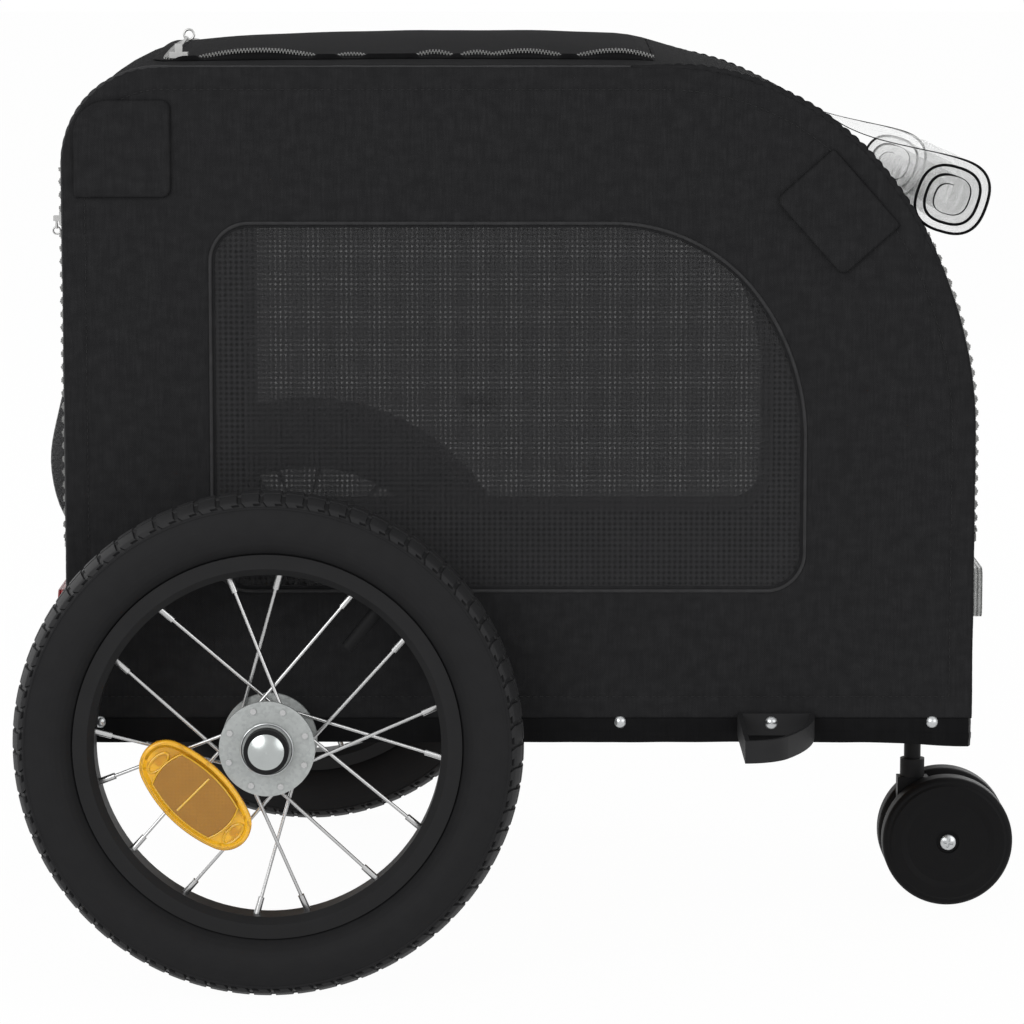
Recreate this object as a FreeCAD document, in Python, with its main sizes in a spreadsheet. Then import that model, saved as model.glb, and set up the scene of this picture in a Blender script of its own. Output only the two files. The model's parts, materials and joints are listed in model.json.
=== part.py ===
import FreeCAD, Part
import math
import os
import re
import Sketcher

# Dog bike trailer: two laced wheels, a twin swivel caster and a fabric cabin on a tube frame.
# Frame: origin on the floor under the middle of the part, +X to the front, +Y to the left, +Z up.

# Driving sizes in millimetres, each one kept in a cell of the sheet.
SIZES = {
    # Whole part
    "overall_length": 626.0,
    "overall_width": 618.0,
    "track": 530.0,
    # Clearances
    "running_gap": 0.05,
    "fit_gap": 0.1,
    "seat_gap": 0.3,
    "panel_gap": 0.6,
    "overrun": 20.0,
    # Cabin outline
    "rear_setback": 28.6,
    "cabin_length": 548.0,
    "cabin_width": 430.0,
    "cabin_top": 553.0,
    "rear_corner_radius": 58.0,
    "front_arc_run": 187.6,
    "front_arc_rise": 221.0,
    "front_top_radius": 168.0,
    "roof_camber": 18.0,
    "rear_camber": 1.0,
    "screen_camber": 1.5,
    "fabric": 1.2,
    "hem_bottom": 144.4,
    "hem_height": 14.6,
    "hem_sheet": 1.6,
    # Side window
    "window_setback": 87.4,
    "window_length": 359.4,
    "window_sill": 236.7,
    "window_height": 224.0,
    "window_corner_radius": 24.0,
    "window_arc_run": 117.0,
    "window_arc_rise": 131.0,
    "window_top_radius": 110.0,
    "mesh_sheet": 0.8,
    "mesh_lap": 8.0,
    "piping_width": 4.5,
    "piping_proud": 2.0,
    # Roof hatch, rear door and front panel
    "hatch_setback": 64.4,
    "hatch_length": 290.0,
    "hatch_width": 350.0,
    "door_bottom": 262.0,
    "door_top": 492.0,
    "door_width": 390.0,
    "door_window_width": 270.0,
    "door_window_bottom": 284.0,
    "door_window_height": 80.0,
    "pocket_width": 300.0,
    "pocket_bottom": 274.0,
    "pocket_height": 100.0,
    "pocket_bulge": 6.0,
    "screen_foot": 266.0,
    # Base frame
    "rail_width": 20.0,
    "rail_height": 22.0,
    "rail_wall": 1.5,
    "rail_rise": 0.2,
    "board": 5.0,
    "board_gap": 4.0,
    "board_side_gap": 1.4,
    # Hoops, bars and their plastic joints
    "tube_diameter": 14.0,
    "tube_wall": 1.2,
    "hoop_inset": 11.5,
    "socket_diameter": 19.0,
    "socket_height": 25.0,
    "socket_floor": 2.0,
    "connector_diameter": 19.6,
    "connector_inner": 17.4,
    "connector_outer": 9.4,
    "connector_gap": 0.25,
    "bar_end_gap": 1.0,
    # Screws along the rails
    "screw_height": 12.3,
    "screw_rear": 18.7,
    "screw_middle": 334.9,
    "screw_front": 524.6,
    "screw_head_diameter": 8.0,
    "screw_head_height": 2.4,
    "screw_diameter": 4.0,
    "screw_length": 9.0,
    # Wheel guards
    "guard_setback": 406.0,
    "guard_length": 46.8,
    "guard_height": 13.4,
    "guard_rise": 4.6,
    "guard_strip": 2.6,
    "guard_tip_radius": 30.0,
    "guard_bolt_setback": 20.7,
    # Road wheels
    "wheel_diameter": 305.0,
    "tyre_width": 44.0,
    "tyre_belly_radius": 133.0,
    "tyre_shoulder_radius": 148.0,
    "tyre_shoulder_width": 33.0,
    "tyre_bead_width": 3.5,
    "tyre_bead_depth": 6.0,
    "tyre_wall": 4.0,
    "tyre_tread": 8.5,
    "tread_groove_width": 2.3,
    "tread_groove_depth": 1.8,
    "tread_land": 13.0,
    "tread_skirt_radius": 140.0,
    "tube_section_diameter": 23.0,
    "tube_ring_radius": 131.0,
    "valve_diameter": 8.0,
    "valve_reach": 75.0,
    "rim_edge_radius": 115.8,
    "rim_inner_radius": 103.3,
    "rim_width": 26.0,
    "rim_floor_width": 18.0,
    "rim_wall": 2.0,
    "hub_length": 36.0,
    "hub_barrel_diameter": 30.0,
    "hub_bore_diameter": 18.0,
    "hub_boss_diameter": 32.0,
    "flange_diameter": 57.0,
    "flange_spacing": 30.0,
    "flange_thickness": 2.4,
    "spoke_circle_radius": 24.0,
    "spoke_diameter": 2.1,
    "spoke_layer": 3.6,
    "spoke_head_diameter": 3.6,
    "spoke_head_height": 1.0,
    "nipple_diameter": 4.0,
    "nipple_length": 10.0,
    "bearing_diameter": 24.0,
    "bearing_width": 8.0,
    # Axles, their receivers and push buttons
    "axle_diameter": 12.0,
    "axle_tail": 4.0,
    "receiver_plate_width": 44.0,
    "receiver_plate_height": 19.0,
    "receiver_plate": 3.0,
    "receiver_tube_diameter": 20.0,
    "hub_end_gap": 0.5,
    "collar_diameter": 26.8,
    "collar_length": 8.0,
    "collar_floor": 3.2,
    "button_diameter": 21.4,
    "button_side_gap": 0.2,
    "button_travel": 3.0,
    "button_rim": 2.0,
    "button_dome": 2.8,
    "plunger_diameter": 5.0,
    "plunger_length": 10.0,
    "plunger_bore_depth": 12.5,
    # Amber spoke reflector
    "amber_length": 80.7,
    "amber_width": 41.1,
    "amber_end_radius": 16.0,
    "amber_thickness": 7.0,
    "amber_radius": 50.8,
    "amber_standoff": 14.5,
    "amber_edge": 2.0,
    "amber_border": 4.0,
    "amber_post_diameter": 5.0,
    # Swivel caster
    "caster_wheel_diameter": 85.2,
    "caster_trail": 21.6,
    "caster_width": 54.0,
    "caster_inner_gap": 15.0,
    "caster_edge_radius": 4.0,
    "caster_face_dish": 1.0,
    "caster_face_radius": 37.0,
    "caster_ring_radius": 28.5,
    "caster_ring_width": 4.0,
    "caster_recess_diameter": 15.0,
    "caster_recess_depth": 2.5,
    "caster_axle_diameter": 6.0,
    "caster_screw_diameter": 10.0,
    "caster_screw_height": 2.2,
    "housing_width": 12.0,
    "housing_boss_radius": 13.0,
    "housing_neck": 20.0,
    "housing_top": 82.0,
    "housing_heel": 52.0,
    "stem_diameter": 11.0,
    "stem_top": 140.0,
    "stem_foot": 84.0,
    "stem_collar_diameter": 16.0,
    "stem_collar_top": 94.0,
    "caster_socket_diameter": 22.0,
    "caster_socket_bottom": 106.0,
    "caster_socket_roof": 3.0,
    "caster_plate_width": 50.0,
    "caster_plate": 3.0,
    # Drawbar socket under the left rail
    "drawbar_bore_diameter": 22.4,
    "drawbar_wall": 2.0,
    "drawbar_length": 70.0,
    "drawbar_saddle": 2.0,
    "drawbar_saddle_width": 14.0,
    "drawbar_pin_diameter": 8.0,
    "drawbar_pin_setback": 25.0,
    # Reflectors on the front and rear panels
    "plate_reflector_width": 60.0,
    "plate_reflector_height": 30.6,
    "rear_reflector_bottom": 204.0,
    "front_reflector_bottom": 217.8,
    "plate_reflector_corner": 6.0,
    "plate_reflector_depth": 7.4,
    "plate_reflector_offset": 165.0,
    # Corner flaps
    "flap_sheet": 1.2,
    "flap_corner": 5.0,
    "rear_flap_setback": 7.0,
    "rear_flap_length": 58.0,
    "rear_flap_bottom": 475.5,
    "rear_flap_height": 58.0,
    "rear_flap_nose": 21.0,
    "front_flap_length": 61.0,
    "front_flap_depth": 46.0,
    "front_flap_setback": 481.6,
    "front_flap_height": 481.7,
    # Rolled clear cover
    "roll_diameter": 48.0,
    "roll_pitch": 5.6,
    "roll_sheet": 1.2,
    "roll_end_gap": 12.0,
    # Zip sliders and pulls
    "slider_length": 11.0,
    "slider_width": 8.0,
    "slider_height": 3.6,
    "slider_edge_gap": 0.8,
    "ear_height": 5.0,
    "ear_length": 4.4,
    "ear_sheet": 1.3,
    "pin_diameter": 1.8,
    "pull_length": 8.6,
    "pull_width": 7.0,
    "pull_sheet": 1.6,
    "pull_eye_diameter": 4.2,
    "pull_eye_width": 3.4,
    "pull_ring_radius": 3.0,
    "pull_wire_diameter": 1.4,
    "roof_slider_setback": 68.0,
    "rear_slider_height": 462.0,
    "rear_zip_share": 0.72,
}

# Sizes that follow from the driving ones.
DERIVED = {
    "half_length": "overall_length / 2",
    "half_width": "cabin_width / 2",
    "cabin_rear": "rear_setback - half_length",
    "cabin_front": "cabin_rear + cabin_length",
    "arc_start_x": "cabin_front - front_arc_run",
    "arc_end_z": "cabin_top - front_arc_rise",
    "hem_top": "hem_bottom + hem_height",
    "window_rear": "cabin_rear + window_setback",
    "window_front": "window_rear + window_length",
    "window_top": "window_sill + window_height",
    "window_arc_x": "window_front - window_arc_run",
    "window_arc_z": "window_top - window_arc_rise",
    "hatch_rear": "cabin_rear + hatch_setback",
    "hatch_front": "hatch_rear + hatch_length",
    "skin_half": "half_width - fabric - panel_gap / 3",
    "rail_bottom": "hem_bottom + rail_rise",
    "rail_top": "rail_bottom + rail_height",
    "rail_outer": "half_width - hem_sheet",
    "rail_inner": "rail_outer - rail_width",
    "hoop_y": "rail_outer - rail_width / 2",
    "tube_radius": "tube_diameter / 2",
    "screw_z": "hem_bottom + screw_height",
    "guard_rear": "cabin_rear + guard_setback",
    "guard_front": "guard_rear + guard_length",
    "guard_reach": "overall_width / 2",
    "guard_bolt_x": "guard_rear + guard_bolt_setback",
    "wheel_radius": "wheel_diameter / 2",
    "wheel_x": "wheel_radius - half_length",
    "tyre_half": "tyre_width / 2",
    "shoulder_half": "tyre_shoulder_width / 2",
    "bead_half": "rim_width / 2 - rim_wall - fit_gap",
    "bead_bottom": "rim_edge_radius - tyre_bead_depth",
    "bead_inner": "bead_half - tyre_bead_width",
    "bead_top": "rim_edge_radius + fit_gap * 4",
    "hub_half": "hub_length / 2",
    "flange_face": "flange_spacing / 2 + flange_thickness / 2",
    "flange_back": "flange_spacing / 2 - flange_thickness / 2",
    "axle_radius": "axle_diameter / 2",
    "axle_bore": "axle_radius + running_gap",
    "collar_back": "hub_half + hub_end_gap",
    "collar_seat": "collar_back + collar_floor",
    "collar_face": "collar_back + collar_length",
    "button_back": "collar_seat + button_travel + seat_gap",
    "caster_radius": "caster_wheel_diameter / 2",
    "caster_x": "half_length - caster_radius",
    "caster_half": "caster_width / 2",
    "stem_x": "caster_x - caster_trail",
    "drawbar_radius": "drawbar_bore_diameter / 2 + drawbar_wall",
    "drawbar_z": "rail_bottom - drawbar_saddle - drawbar_radius",
    "drawbar_front": "cabin_front - hem_sheet",
    "flap_y": "half_width + seat_gap",
    "rear_flap_x": "cabin_rear + rear_flap_setback",
    "front_flap_x": "cabin_rear + front_flap_setback",
    "roll_radius": "roll_diameter / 2",
}

# Angles in degrees, counted from +X towards +Z as the right side is seen.
SEAM_ANGLE = 54.1
VALVE_ANGLE = 51.0
AMBER_ANGLE = 213.0
AMBER_TILT = 45.0
FRONT_FLAP_TILT = 48.4
ROLL_ANGLE = 31.6
ROOF_PULL_TILT = 52.0
QUARTER_TURN = 90.0
HALF_TURN = 180.0
FULL_TURN = 360.0

# Spoke ends: rim angle, hub angle, flange side (1 outer, -1 inner) and layer across the flange.
SPOKES = ((102.7, 66.5, 1, 0), (60.8, 109.5, 1, 1), (85.75, 133.5, -1, 0), (38.05, -1.5, -1, 1))
SPOKE_REPEATS = 4
TREAD_COUNT = 64
ROLL_HALF_TURNS = 6
GAP_POINTS = 25
ARC_STEPS = 7

# Share of the roof's crown at stations from the rear corner to the front seam.
CORNER_CAMBER_SHARES = (0.06, 0.09, 0.13, 0.18, 0.25, 0.34, 0.46, 0.60)
ROOF_PLACE_SHARES = (0.12, 0.28, 0.50, 0.75, 0.95, 1.0)
ROOF_CAMBER_SHARES = (0.78, 0.90, 1.0, 1.0, 0.84, 0.60)
FRONT_CAMBER_SHARES = (0.34, 0.25, 0.20, 0.16, 0.13, 0.10, 0.08)
POCKET_PLACE_SHARES = (0.0, 0.18, 0.5, 0.82, 1.0)
POCKET_BULGE_SHARES = (0.1, 0.75, 1.0, 0.75, 0.1)
# Where a reflector post meets its spoke, as a share of the way from hub to rim.
UPPER_POST_SHARE = 0.56
LOWER_POST_SHARE = 0.47

Vec = FreeCAD.Vector
doc = FreeCAD.newDocument("dog_bike_trailer")
sheet = doc.addObject("Spreadsheet::Sheet", "Sizes")
nodes = []


def fill_sheet():
    """Writes each driving size into a cell with its name as the alias."""
    for row, (alias, value) in enumerate(SIZES.items(), start=1):
        sheet.set(f"A{row}", alias)
        sheet.set(f"B{row}", str(value))
        sheet.setAlias(f"B{row}", alias)
    doc.recompute()


def formula(text):
    """Turns plain size names into references to the sheet."""

    def swap(match):
        word = match.group()
        if word in DERIVED:
            return "(" + formula(DERIVED[word]) + ")"
        return "Sizes." + word if word in SIZES else word

    return re.sub(r"[a-z][a-z_0-9]*", swap, text)


def size(text):
    """The value of a formula in size names."""
    return float(sheet.evalExpression(formula(text)))


def bind(thing, **formulas):
    """Ties properties of an object to formulas."""
    for name, text in formulas.items():
        thing.setExpression(name, formula(text))
    return thing


def place(thing, x="0", y="0", z="0", rotation=None):
    """Ties an object's place to formulas."""
    thing.Placement = FreeCAD.Placement(Vec(), rotation or FreeCAD.Rotation())
    for axis, text in zip("xyz", (x, y, z)):
        thing.setExpression(f"Placement.Base.{axis}", formula(text))
    return thing


def keep(thing):
    """Marks an object as one node of the part."""
    nodes.append(thing)
    return thing


def polar(radius, degrees):
    """A point at a radius and angle in the XZ plane."""
    return Vec(radius * math.cos(math.radians(degrees)), 0, radius * math.sin(math.radians(degrees)))


# Solids and booleans


def box(name, low, high):
    """A block between two corners given as formulas."""
    block = doc.addObject("Part::Box", name)
    bind(block, Length=f"({high[0]}) - ({low[0]})")
    bind(block, Width=f"({high[1]}) - ({low[1]})")
    bind(block, Height=f"({high[2]}) - ({low[2]})")
    return place(block, *low)


def rod(name, axis, base, radius, length):
    """A round bar from a base point along +X, +Y or +Z."""
    turns = {
        "x": FreeCAD.Rotation(Vec(0, 1, 0), QUARTER_TURN),
        "y": FreeCAD.Rotation(Vec(1, 0, 0), -QUARTER_TURN),
        "z": FreeCAD.Rotation(),
    }
    bar = doc.addObject("Part::Cylinder", name)
    bind(bar, Radius=radius, Height=length)
    return place(bar, *base, rotation=turns[axis])


def cut(name, base, tool):
    """One solid less another."""
    result = doc.addObject("Part::Cut", name)
    result.Base = base
    result.Tool = tool
    return result


def common(name, base, tool):
    """What two solids share."""
    result = doc.addObject("Part::Common", name)
    result.Base = base
    result.Tool = tool
    return result


def fuse(name, *parts):
    """Several solids made one."""
    result = doc.addObject("Part::MultiFuse", name)
    result.Shapes = list(parts)
    return result


def group(name, *parts):
    """Several separate solids in one node."""
    result = doc.addObject("Part::Compound", name)
    result.Links = list(parts)
    return result


def mirror(name, source):
    """The same piece on the left side."""
    result = doc.addObject("Part::Mirroring", name)
    result.Source = source
    result.Normal = Vec(0, 1, 0)
    result.Base = Vec()
    return result


def pair(name, source):
    """A right-hand piece and its left-hand twin in one node."""
    return group(name, source, mirror(name + "_twin", source))


def feature(name, shape, placement=None):
    """A piece whose shape is worked out here from the sheet."""
    result = doc.addObject("Part::Feature", name)
    result.Shape = shape
    if placement:
        result.Placement = placement
    return result


# Sketches


def new_sketch(body, name, role, offset="0", turn=None):
    """An empty sketch on one of the body's own planes."""
    plane = [item for item in body.Origin.OriginFeatures if item.Role == role][0]
    sketch = body.newObject("Sketcher::SketchObject", name)
    sketch.AttachmentSupport = [(plane, "")]
    sketch.MapMode = "FlatFace"
    sketch.AttachmentOffset = FreeCAD.Placement(Vec(), turn or FreeCAD.Rotation())
    sketch.setExpression("AttachmentOffset.Base.z", formula(offset))
    return sketch


def arc(here, there, radius, clockwise):
    """The shorter arc between two points, kept counter-clockwise as sketches keep it."""
    start, end = (there, here) if clockwise else (here, there)
    chord = end - start
    middle = (start + end) / 2
    rise = math.sqrt(max(radius**2 - (chord.Length / 2) ** 2, 0))
    normal = Vec(-chord.y, chord.x, 0).normalize()
    centre = middle + normal * rise
    first = math.atan2(start.y - centre.y, start.x - centre.x)
    last = math.atan2(end.y - centre.y, end.x - centre.x)
    return Part.ArcOfCircle(Part.Circle(centre, Vec(0, 0, 1), radius), first, last)


def pin(sketch, geometry, point, corner):
    """Ties a corner's two coordinates to the sheet."""
    for kind, axis, text in (("DistanceX", -2, corner[0]), ("DistanceY", -1, corner[1])):
        if text == "0":
            sketch.addConstraint(Sketcher.Constraint("PointOnObject", geometry, point, axis))
        else:
            rule = Sketcher.Constraint(kind, -1, 1, geometry, point, size(text))
            number = sketch.addConstraint(rule)
            sketch.setExpression(f"Constraints[{number}]", formula(text))


def draw(sketch, corners, closed=True):
    """Draws lines, and arcs where a corner gives a radius, through corners tied to the sheet."""
    spots = [Vec(size(corner[0]), size(corner[1]), 0) for corner in corners]
    count = len(corners) if closed else len(corners) - 1
    runs = []
    for index in range(count):
        here = spots[index]
        there = spots[(index + 1) % len(spots)]
        if len(corners[index]) == 2:
            runs.append((sketch.addGeometry(Part.LineSegment(here, there)), 1, 2))
            continue
        radius = corners[index][2]
        clockwise = corners[index][3] == "cw"
        geometry = sketch.addGeometry(arc(here, there, size(radius), clockwise))
        number = sketch.addConstraint(Sketcher.Constraint("Radius", geometry, size(radius)))
        sketch.setExpression(f"Constraints[{number}]", formula(radius))
        runs.append((geometry, 2, 1) if clockwise else (geometry, 1, 2))
    for index in range(count if closed else count - 1):
        after = runs[(index + 1) % count]
        link = Sketcher.Constraint("Coincident", runs[index][0], runs[index][2], after[0], after[1])
        sketch.addConstraint(link)
    for index in range(count):
        pin(sketch, runs[index][0], runs[index][1], corners[index])
    if not closed:
        pin(sketch, runs[-1][0], runs[-1][2], corners[-1])


def circle(sketch, centre, radius):
    """A circle whose centre and radius are tied to the sheet."""
    spot = Vec(size(centre[0]), size(centre[1]), 0)
    geometry = sketch.addGeometry(Part.Circle(spot, Vec(0, 0, 1), size(radius)))
    number = sketch.addConstraint(Sketcher.Constraint("Radius", geometry, size(radius)))
    sketch.setExpression(f"Constraints[{number}]", formula(radius))
    pin(sketch, geometry, 3, centre)


def pad(name, role, outlines, start, length):
    """A body padded from closed outlines on a plane moved out by a start distance."""
    body = doc.addObject("PartDesign::Body", name)
    sketch = new_sketch(body, name + "_outline", role, start)
    for outline in outlines:
        draw(sketch, outline)
    result = body.newObject("PartDesign::Pad", name + "_pad")
    result.Profile = sketch
    bind(result, Length=length)
    return body


def revolve(name, role, outline, axis):
    """A body turned from a closed outline about an axis of its sketch."""
    body = doc.addObject("PartDesign::Body", name)
    sketch = new_sketch(body, name + "_outline", role)
    draw(sketch, outline)
    result = body.newObject("PartDesign::Revolution", name + "_turn")
    result.Profile = sketch
    result.ReferenceAxis = (sketch, [axis])
    result.Angle = FULL_TURN
    return body


def quadrant(start, end, radius, inset):
    """Two tangent arcs from a level start to an upright end, moved in by an inset."""
    run = f"(({end[0]}) - ({start[0]}))"
    rise = f"(({start[1]}) - ({end[1]}))"
    second = f"(({run}^2 + ({rise} - {radius})^2 - {radius}^2) / (2 * ({run} - {radius})))"
    across = f"(({second} - {run}) / ({second} - {radius}))"
    up = f"(({rise} - {radius}) / ({second} - {radius}))"
    joint_x = f"{start[0]} + ({radius} - ({inset})) * {across}"
    joint_z = f"{start[1]} - {radius} + ({radius} - ({inset})) * {up}"
    return [
        (start[0], f"{start[1]} - ({inset})", f"{radius} - ({inset})", "cw"),
        (joint_x, joint_z, f"{second} - ({inset})", "cw"),
        (f"{end[0]} - ({inset})", end[1]),
    ]


def cabin_path(inset, foot):
    """The cabin's side outline from the rear foot over the roof to the front foot."""
    rear = f"cabin_rear + {inset}"
    top = ("arc_start_x", "cabin_top")
    front = ("cabin_front", "arc_end_z")
    return [
        (rear, foot),
        (rear, "cabin_top - rear_corner_radius", f"rear_corner_radius - {inset}", "cw"),
        ("cabin_rear + rear_corner_radius", f"cabin_top - {inset}"),
        *quadrant(top, front, "front_top_radius", inset),
        (f"cabin_front - {inset}", foot),
    ]


def window_path(inset):
    """The side window's outline, moved in by an inset."""
    corner = "window_corner_radius"
    rounding = f"{corner} - ({inset})"
    top = ("window_arc_x", "window_top")
    front = ("window_front", "window_arc_z")
    return [
        (f"window_rear + ({inset})", f"window_sill + {corner}"),
        (f"window_rear + ({inset})", f"window_top - {corner}", rounding, "cw"),
        (f"window_rear + {corner}", f"window_top - ({inset})"),
        *quadrant(top, front, "window_top_radius", inset),
        (f"window_front - ({inset})", f"window_sill + {corner}", rounding, "cw"),
        (f"window_front - {corner}", f"window_sill + ({inset})"),
        (f"window_rear + {corner}", f"window_sill + ({inset})", rounding, "cw"),
    ]


def rounded(low, high, corner):
    """A rectangle with round corners."""
    left, bottom = low
    right, top = high
    return [
        (left, f"{top} - {corner}", corner, "cw"),
        (f"{left} + {corner}", top),
        (f"{right} - {corner}", top, corner, "cw"),
        (right, f"{top} - {corner}"),
        (right, f"{bottom} + {corner}", corner, "cw"),
        (f"{right} - {corner}", bottom),
        (f"{left} + {corner}", bottom, corner, "cw"),
        (left, f"{bottom} + {corner}"),
    ]


# Base frame


def screw_places():
    """Where screws pass through the hem into the right rail, along X."""
    return ["cabin_rear + screw_rear", "cabin_rear + screw_middle", "cabin_rear + screw_front", "guard_bolt_x"]


def screw_holes(name):
    """Clearance holes for the screws of the right side."""
    holes = []
    for index, x in enumerate(screw_places()):
        base = (x, "-half_width - overrun", "screw_z")
        length = "overrun + hem_sheet + rail_width / 2"
        holes.append(rod(f"{name}_{index}", "y", base, "screw_diameter / 2 + fit_gap", length))
    return group(name, *holes)


def axle_hole(name):
    """The hole that the right axle passes through."""
    base = ("wheel_x", "-half_width - overrun", "wheel_radius")
    return rod(name, "y", base, "axle_radius + fit_gap", "2 * overrun + rail_width")


def base_frame():
    """Square rails and cross tubes, and the board that lies on them."""
    low = ("cabin_rear + hem_sheet", "-rail_outer", "rail_bottom")
    high = ("cabin_front - hem_sheet", "-rail_inner", "rail_top")
    outer = box("rail_outer_block", low, high)
    low = ("cabin_rear - overrun", "-rail_outer + rail_wall", "rail_bottom + rail_wall")
    high = ("cabin_front + overrun", "-rail_inner - rail_wall", "rail_top - rail_wall")
    tube = cut("rail_tube", outer, box("rail_core", low, high))
    drilled = cut("rail_drilled", tube, screw_holes("rail_screw_holes"))
    right = keep(cut("base_rail_right", drilled, axle_hole("rail_axle_hole")))
    keep(mirror("base_rail_left", right))
    half = "rail_width / 2"
    middles = {
        "rear": f"cabin_rear + hem_sheet + {half}",
        "axle": "wheel_x",
        "front": f"cabin_front - hem_sheet - {half}",
    }
    tubes = []
    for word, x in middles.items():
        low = (f"{x} - {half}", "-rail_inner", "rail_bottom")
        high = (f"{x} + {half}", "rail_inner", "rail_top")
        block = box(f"cross_{word}_block", low, high)
        low = (f"{x} - {half} + rail_wall", "-rail_inner - overrun", "rail_bottom + rail_wall")
        high = (f"{x} + {half} - rail_wall", "rail_inner + overrun", "rail_top - rail_wall")
        tubes.append(cut(f"cross_{word}_tube", block, box(f"cross_{word}_core", low, high)))
    keep(group("base_cross_tubes", *tubes))
    low = ("cabin_rear + board_gap", "-rail_inner + board_side_gap", "rail_top")
    high = ("cabin_front - board_gap", "rail_inner - board_side_gap", "rail_top + board")
    keep(box("floor_board", low, high))


def drawbar_socket():
    """A round socket under the left rail, open to the front, with a cross pin hole."""
    length = "drawbar_length"
    base = (f"drawbar_front - {length}", "hoop_y", "drawbar_z")
    tube = rod("drawbar_tube", "x", base, "drawbar_radius", length)
    low = (f"drawbar_front - {length}", "hoop_y - drawbar_saddle_width / 2", "drawbar_z")
    high = ("drawbar_front", "hoop_y + drawbar_saddle_width / 2", "rail_bottom")
    whole = fuse("drawbar_whole", tube, box("drawbar_saddle_block", low, high))
    base = (f"drawbar_front - {length} - overrun", "hoop_y", "drawbar_z")
    bore = rod("drawbar_bore", "x", base, "drawbar_bore_diameter / 2", f"{length} + 2 * overrun")
    open_tube = cut("drawbar_bored", whole, bore)
    base = ("drawbar_front - drawbar_pin_setback", "hoop_y - drawbar_radius - overrun", "drawbar_z")
    hole = rod("drawbar_pin_hole", "y", base, "drawbar_pin_diameter / 2", "2 * (drawbar_radius + overrun)")
    keep(cut("drawbar_socket", open_tube, hole))


def axle_receivers():
    """Plates on the rails with a sleeve that takes each wheel axle."""
    low = ("wheel_x - receiver_plate_width / 2", "-half_width - receiver_plate", "rail_bottom")
    high = ("wheel_x + receiver_plate_width / 2", "-half_width", "rail_bottom + receiver_plate_height")
    plate = box("receiver_plate_block", low, high)
    end = "track / 2 - hub_half - hub_end_gap"
    base = ("wheel_x", f"-({end})", "wheel_radius")
    tube = rod("receiver_tube", "y", base, "receiver_tube_diameter / 2", f"{end} - half_width")
    whole = fuse("receiver_whole", plate, tube)
    base = ("wheel_x", f"-({end}) - overrun", "wheel_radius")
    bore = rod("receiver_bore", "y", base, "axle_bore", f"{end} - half_width + 2 * overrun")
    keep(pair("axle_receivers", cut("receiver_right", whole, bore)))


# Hoops and their joints


def hoop():
    """One bent tube each side, from the rear foot over the roof to the front foot."""
    body = doc.addObject("PartDesign::Body", "side_hoop_right")
    foot = "rail_top + socket_floor"
    path = new_sketch(body, "hoop_path", "XZ_Plane", "hoop_y")
    draw(path, cabin_path("hoop_inset", foot), closed=False)
    section = new_sketch(body, "hoop_section", "XY_Plane", foot)
    for radius in ("tube_radius", "tube_radius - tube_wall"):
        circle(section, ("cabin_rear + hoop_inset", "-hoop_y"), radius)
    pipe = body.newObject("PartDesign::AdditivePipe", "hoop_pipe")
    pipe.Profile = section
    pipe.Spine = path
    keep(body)
    keep(mirror("side_hoop_left", body))


def hoop_sockets():
    """Plastic cups on the rails that hold the hoops' feet."""
    cups = []
    for word, x in (("rear", "cabin_rear + hoop_inset"), ("front", "cabin_front - hoop_inset")):
        cup = rod(f"socket_{word}_cup", "z", (x, "-hoop_y", "rail_top"), "socket_diameter / 2", "socket_height")
        base = (x, "-hoop_y", "rail_top + socket_floor")
        bore = rod(f"socket_{word}_bore", "z", base, "tube_radius + fit_gap", "socket_height")
        cups.append(cut(f"socket_{word}", cup, bore))
    keep(pair("hoop_sockets", group("sockets_right", *cups)))


def bar_places():
    """Centres of the rear and front top bars, with the hoop's bend there: centre x, z and radius."""
    bend = "rear_corner_radius - hoop_inset"
    slant = math.sqrt(0.5)
    rear_x = f"cabin_rear + rear_corner_radius - {slant} * ({bend})"
    rear_z = f"cabin_top - rear_corner_radius + {slant} * ({bend})"
    rear_bend = ("cabin_rear + rear_corner_radius", "cabin_top - rear_corner_radius", bend)
    top = ("arc_start_x", "cabin_top")
    front = ("cabin_front", "arc_end_z")
    joint = quadrant(top, front, "front_top_radius", "hoop_inset")[1]
    front_bend = ("arc_start_x", "cabin_top - front_top_radius", "front_top_radius - hoop_inset")
    return {"rear": (rear_x, rear_z, rear_bend), "front": (joint[0], joint[1], front_bend)}


def top_bars():
    """Cross bars between the hoops, and the connectors at their ends."""
    bars = []
    joints = []
    for word, (x, z, bend) in bar_places().items():
        end = "hoop_y - tube_radius - bar_end_gap"
        base = (x, f"-({end})", z)
        solid = rod(f"bar_{word}_solid", "y", base, "tube_radius", f"2 * ({end})")
        core = rod(f"bar_{word}_core", "y", base, "tube_radius - tube_wall", f"2 * ({end})")
        bars.append(cut(f"bar_{word}", solid, core))
        base = (x, "-hoop_y - connector_outer", z)
        length = "connector_outer + connector_inner"
        block = rod(f"joint_{word}_block", "y", base, "connector_diameter / 2", length)
        bore = rod(f"joint_{word}_bore", "y", (x, f"-({end})", z), "tube_radius + fit_gap", "overrun")
        ring = doc.addObject("Part::Torus", f"joint_{word}_ring")
        bind(ring, Radius1=bend[2], Radius2="tube_radius + connector_gap")
        place(ring, bend[0], "-hoop_y", bend[1], FreeCAD.Rotation(Vec(1, 0, 0), QUARTER_TURN))
        joints.append(cut(f"joint_{word}", cut(f"joint_{word}_bored", block, bore), ring))
    keep(group("top_cross_bars", *bars))
    keep(pair("corner_connectors", group("connectors_right", *joints)))


# Fabric cabin


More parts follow.
